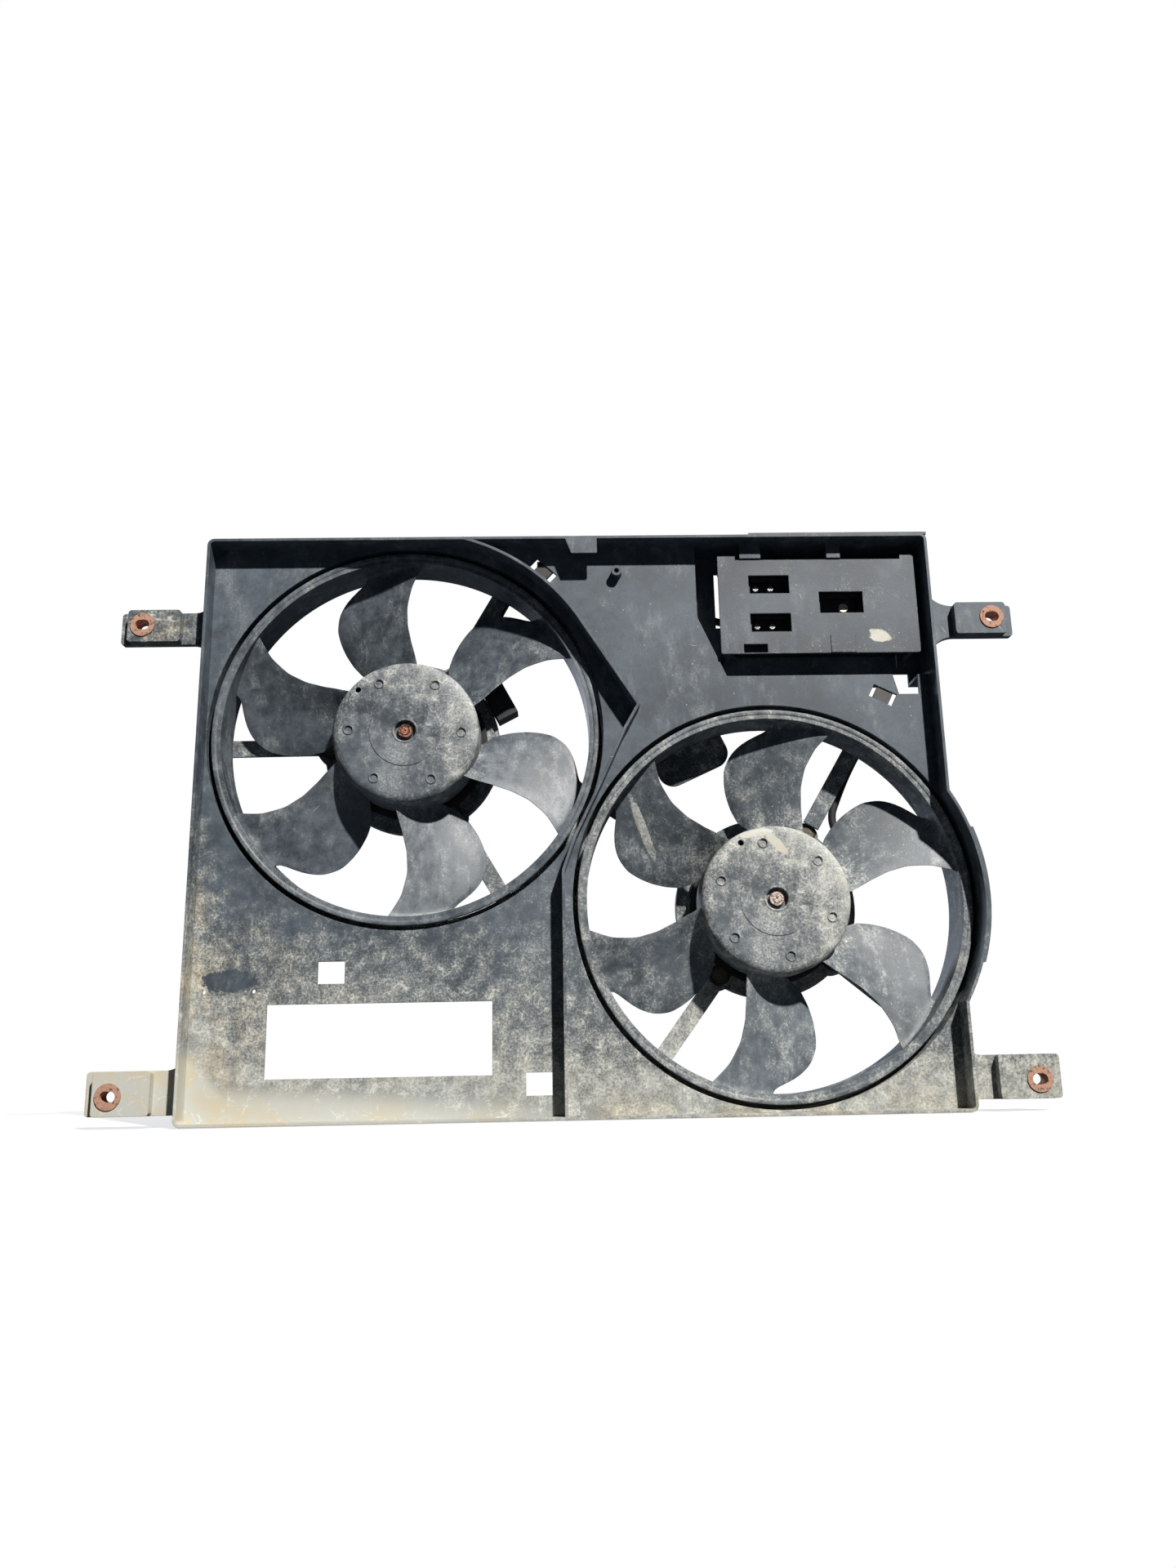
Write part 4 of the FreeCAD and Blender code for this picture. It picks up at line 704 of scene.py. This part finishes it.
def thick_dust_and_highlight(tree, place):
    """The right rotor's dust, with a tan smear over the top of the hub, a drip on one blade and the
    painted highlight on the hub.
    """
    arm = ragged_spot(tree, place, (-16, 56.5), (14, 3.4), turn=6, grain=8)
    hook = ragged_spot(tree, place, (2, 48), (3.6, 13.5), turn=43, grain=8)
    smear = add(tree, "Math", {0: arm, 1: hook}, operation="MAXIMUM")
    drip = ragged_spot(tree, place, (-110, 68), (4, 31), turn=20.6, grain=12, most=0.8)
    smear_amount, least_tan = 1.2, 0.1
    amount = round_the_hub(tree, place, haze=0.24, roots=0.30)
    amount = add(tree, "Math", {0: smear, 1: smear_amount, 2: amount}, operation="MULTIPLY_ADD")
    amount = add(tree, "Math", {0: amount, 1: drip}, operation="ADD")
    return amount, add(tree, "Math", {0: smear, 1: least_tan}, operation="ADD")


rotor_nylon = {
    "left": weathered_nylon(
        "nylon 66 rotor", fresh="2b3239", bleached="6c757d", film="b3b8b8", dust="abb0b1",
        clay="a49a84", dusty_where=thin_dust_and_highlight, bleach=0.45, film_share=0.45, mark_share=0.35,
        roughness=0.38),
    "right": weathered_nylon(
        "dusty nylon 66 rotor", fresh="31393f", bleached="6a737b", film="c6cac9", dust="bcbfbb",
        clay="c2b596", dusty_where=thick_dust_and_highlight, bleach=0.52, film_share=0.5, mark_share=0.6,
        roughness=0.42),
}

# The angle in degrees at which each rotor's first blade starts at rest.
first_blade = {"left": 25.4, "right": 8.2}
for side, start in first_blade.items():
    low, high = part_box(f"{side}_fan_rotor")
    centre = Vector(((low.x + high.x) / 2, 0, (low.z + high.z) / 2))
    bm = moulded_hub(start)
    turn_profile(bm, list(band_profile()))
    for index in range(BLADES):
        blade_mesh(bm, start + 360 / BLADES * index)
    rotor = new_mesh(f"{side}_rotor_moulding", bm, centre, f"{side}_rotor", rotor_nylon[side])
    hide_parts(f"{side}_fan_rotor")


# Motors: a drawn and painted can with its end cap, a flange on rubber isolators that is screwed to
# the shroud's arms, a plug and a lead. Where rain reaches the shaft's end, it has rusted.
# Dipped paint gives the cans a smooth satin black, and the moulded plugs are a little duller.
can_paint = moulded_black("black electrocoat", "1b1c1e", "2a2a2b", 0.38)
connector_nylon = moulded_black("black connector nylon", "16181a", "242628", 0.45)
# Ground bearing steel is bright and even, with a faint brown stain.
bearing_steel = metal("ground steel", "b9b7b2", "9c9890", 0.3, grain=3, share=0.3)
# The left shaft's rust is brown with orange patches. The hub bushes are nearly black, and so is the
# left retaining ring under its orange patches of rust. Their near black is painted shade of the recess.
shaft_rust = metal("rusted shaft steel", "4a3026", "a06f57", 0.5, grain=2.2, metallic=0.6, share=0.45,
                   bump=0.6)
hub_rust_with_painted_shade = metal("rusted hub steel with painted shade", "2c201b", "6d4a3a", 0.6, grain=1.6, metallic=0.4, bump=0.6)
clip_rust_with_painted_shade = metal("rusted spring steel with painted shade", "2a1811", "8f6350", 0.5, grain=2.6, metallic=0.5, bump=0.6)
# On the right shaft and its ring, a chalky film dulls the rust to a pinkish grey.
pale_rust = metal("chalky shaft steel", "6b5f59", "c4b3ab", 0.5, grain=2.2, metallic=0.5, share=0.5,
                  bump=0.6)
# The screws' yellow zinc has dulled to a dark straw. Rubber and lead sleeves are matt black, the
# magnets a matt charcoal and the brush plate brown board. The armature is dull grey steel sheets
# with glossy red-brown wire, and the commutator's copper is brighter than the wire.
MOTOR_FINISHES = {
    "motor_can": can_paint,
    "motor_end_cap": can_paint,
    "motor_bracket": can_paint,
    "front_bearing": bearing_steel,
    "rear_bearing": bearing_steel,
    "motor_shaft": shaft_rust,
    "hub_insert": hub_rust_with_painted_shade,
    "hub_clip": clip_rust_with_painted_shade,
    "motor_screws": metal("yellow zinc screw", "6a6252", "3f3a31", 0.5, grain=1.5),
    "motor_isolators": moulded_black("isolator rubber", "151515", "222221", 0.75),
    "motor_connector": connector_nylon,
    "motor_lead": moulded_black("taped lead sleeve", "141517", "1f2124", 0.7),
    "motor_magnets": moulded_black("sintered ferrite", "2c2c2e", "3a3a3c", 0.6),
    "brush_plate": moulded_black("phenolic board", "5a3a24", "6a4730", 0.5),
    "motor_brushes": moulded_black("carbon brush", "1c1c1c", "2a2a2a", 0.5),
    "armature_core": metal("laminated steel", "8f9092", "77787a", 0.4, grain=2),
    "armature_windings": metal("enamelled copper", "b0602f", "8c4a24", 0.3, grain=1.5),
    "commutator": metal("copper segments", "c98a5c", "a86e46", 0.3, grain=2),
}
for side in first_blade:
    for piece, finish in MOTOR_FINISHES.items():
        dress(f"{side}_{piece}", finish)
for piece in ("motor_shaft", "hub_clip"):
    dress(f"right_{piece}", pale_rust)

# Lead clips: two nylon clips, pressed on posts behind the shroud, that hold the leads of the two
# motors on their way to the control module. They have the same black grain as the plugs.
dress("lead_clips", connector_nylon)
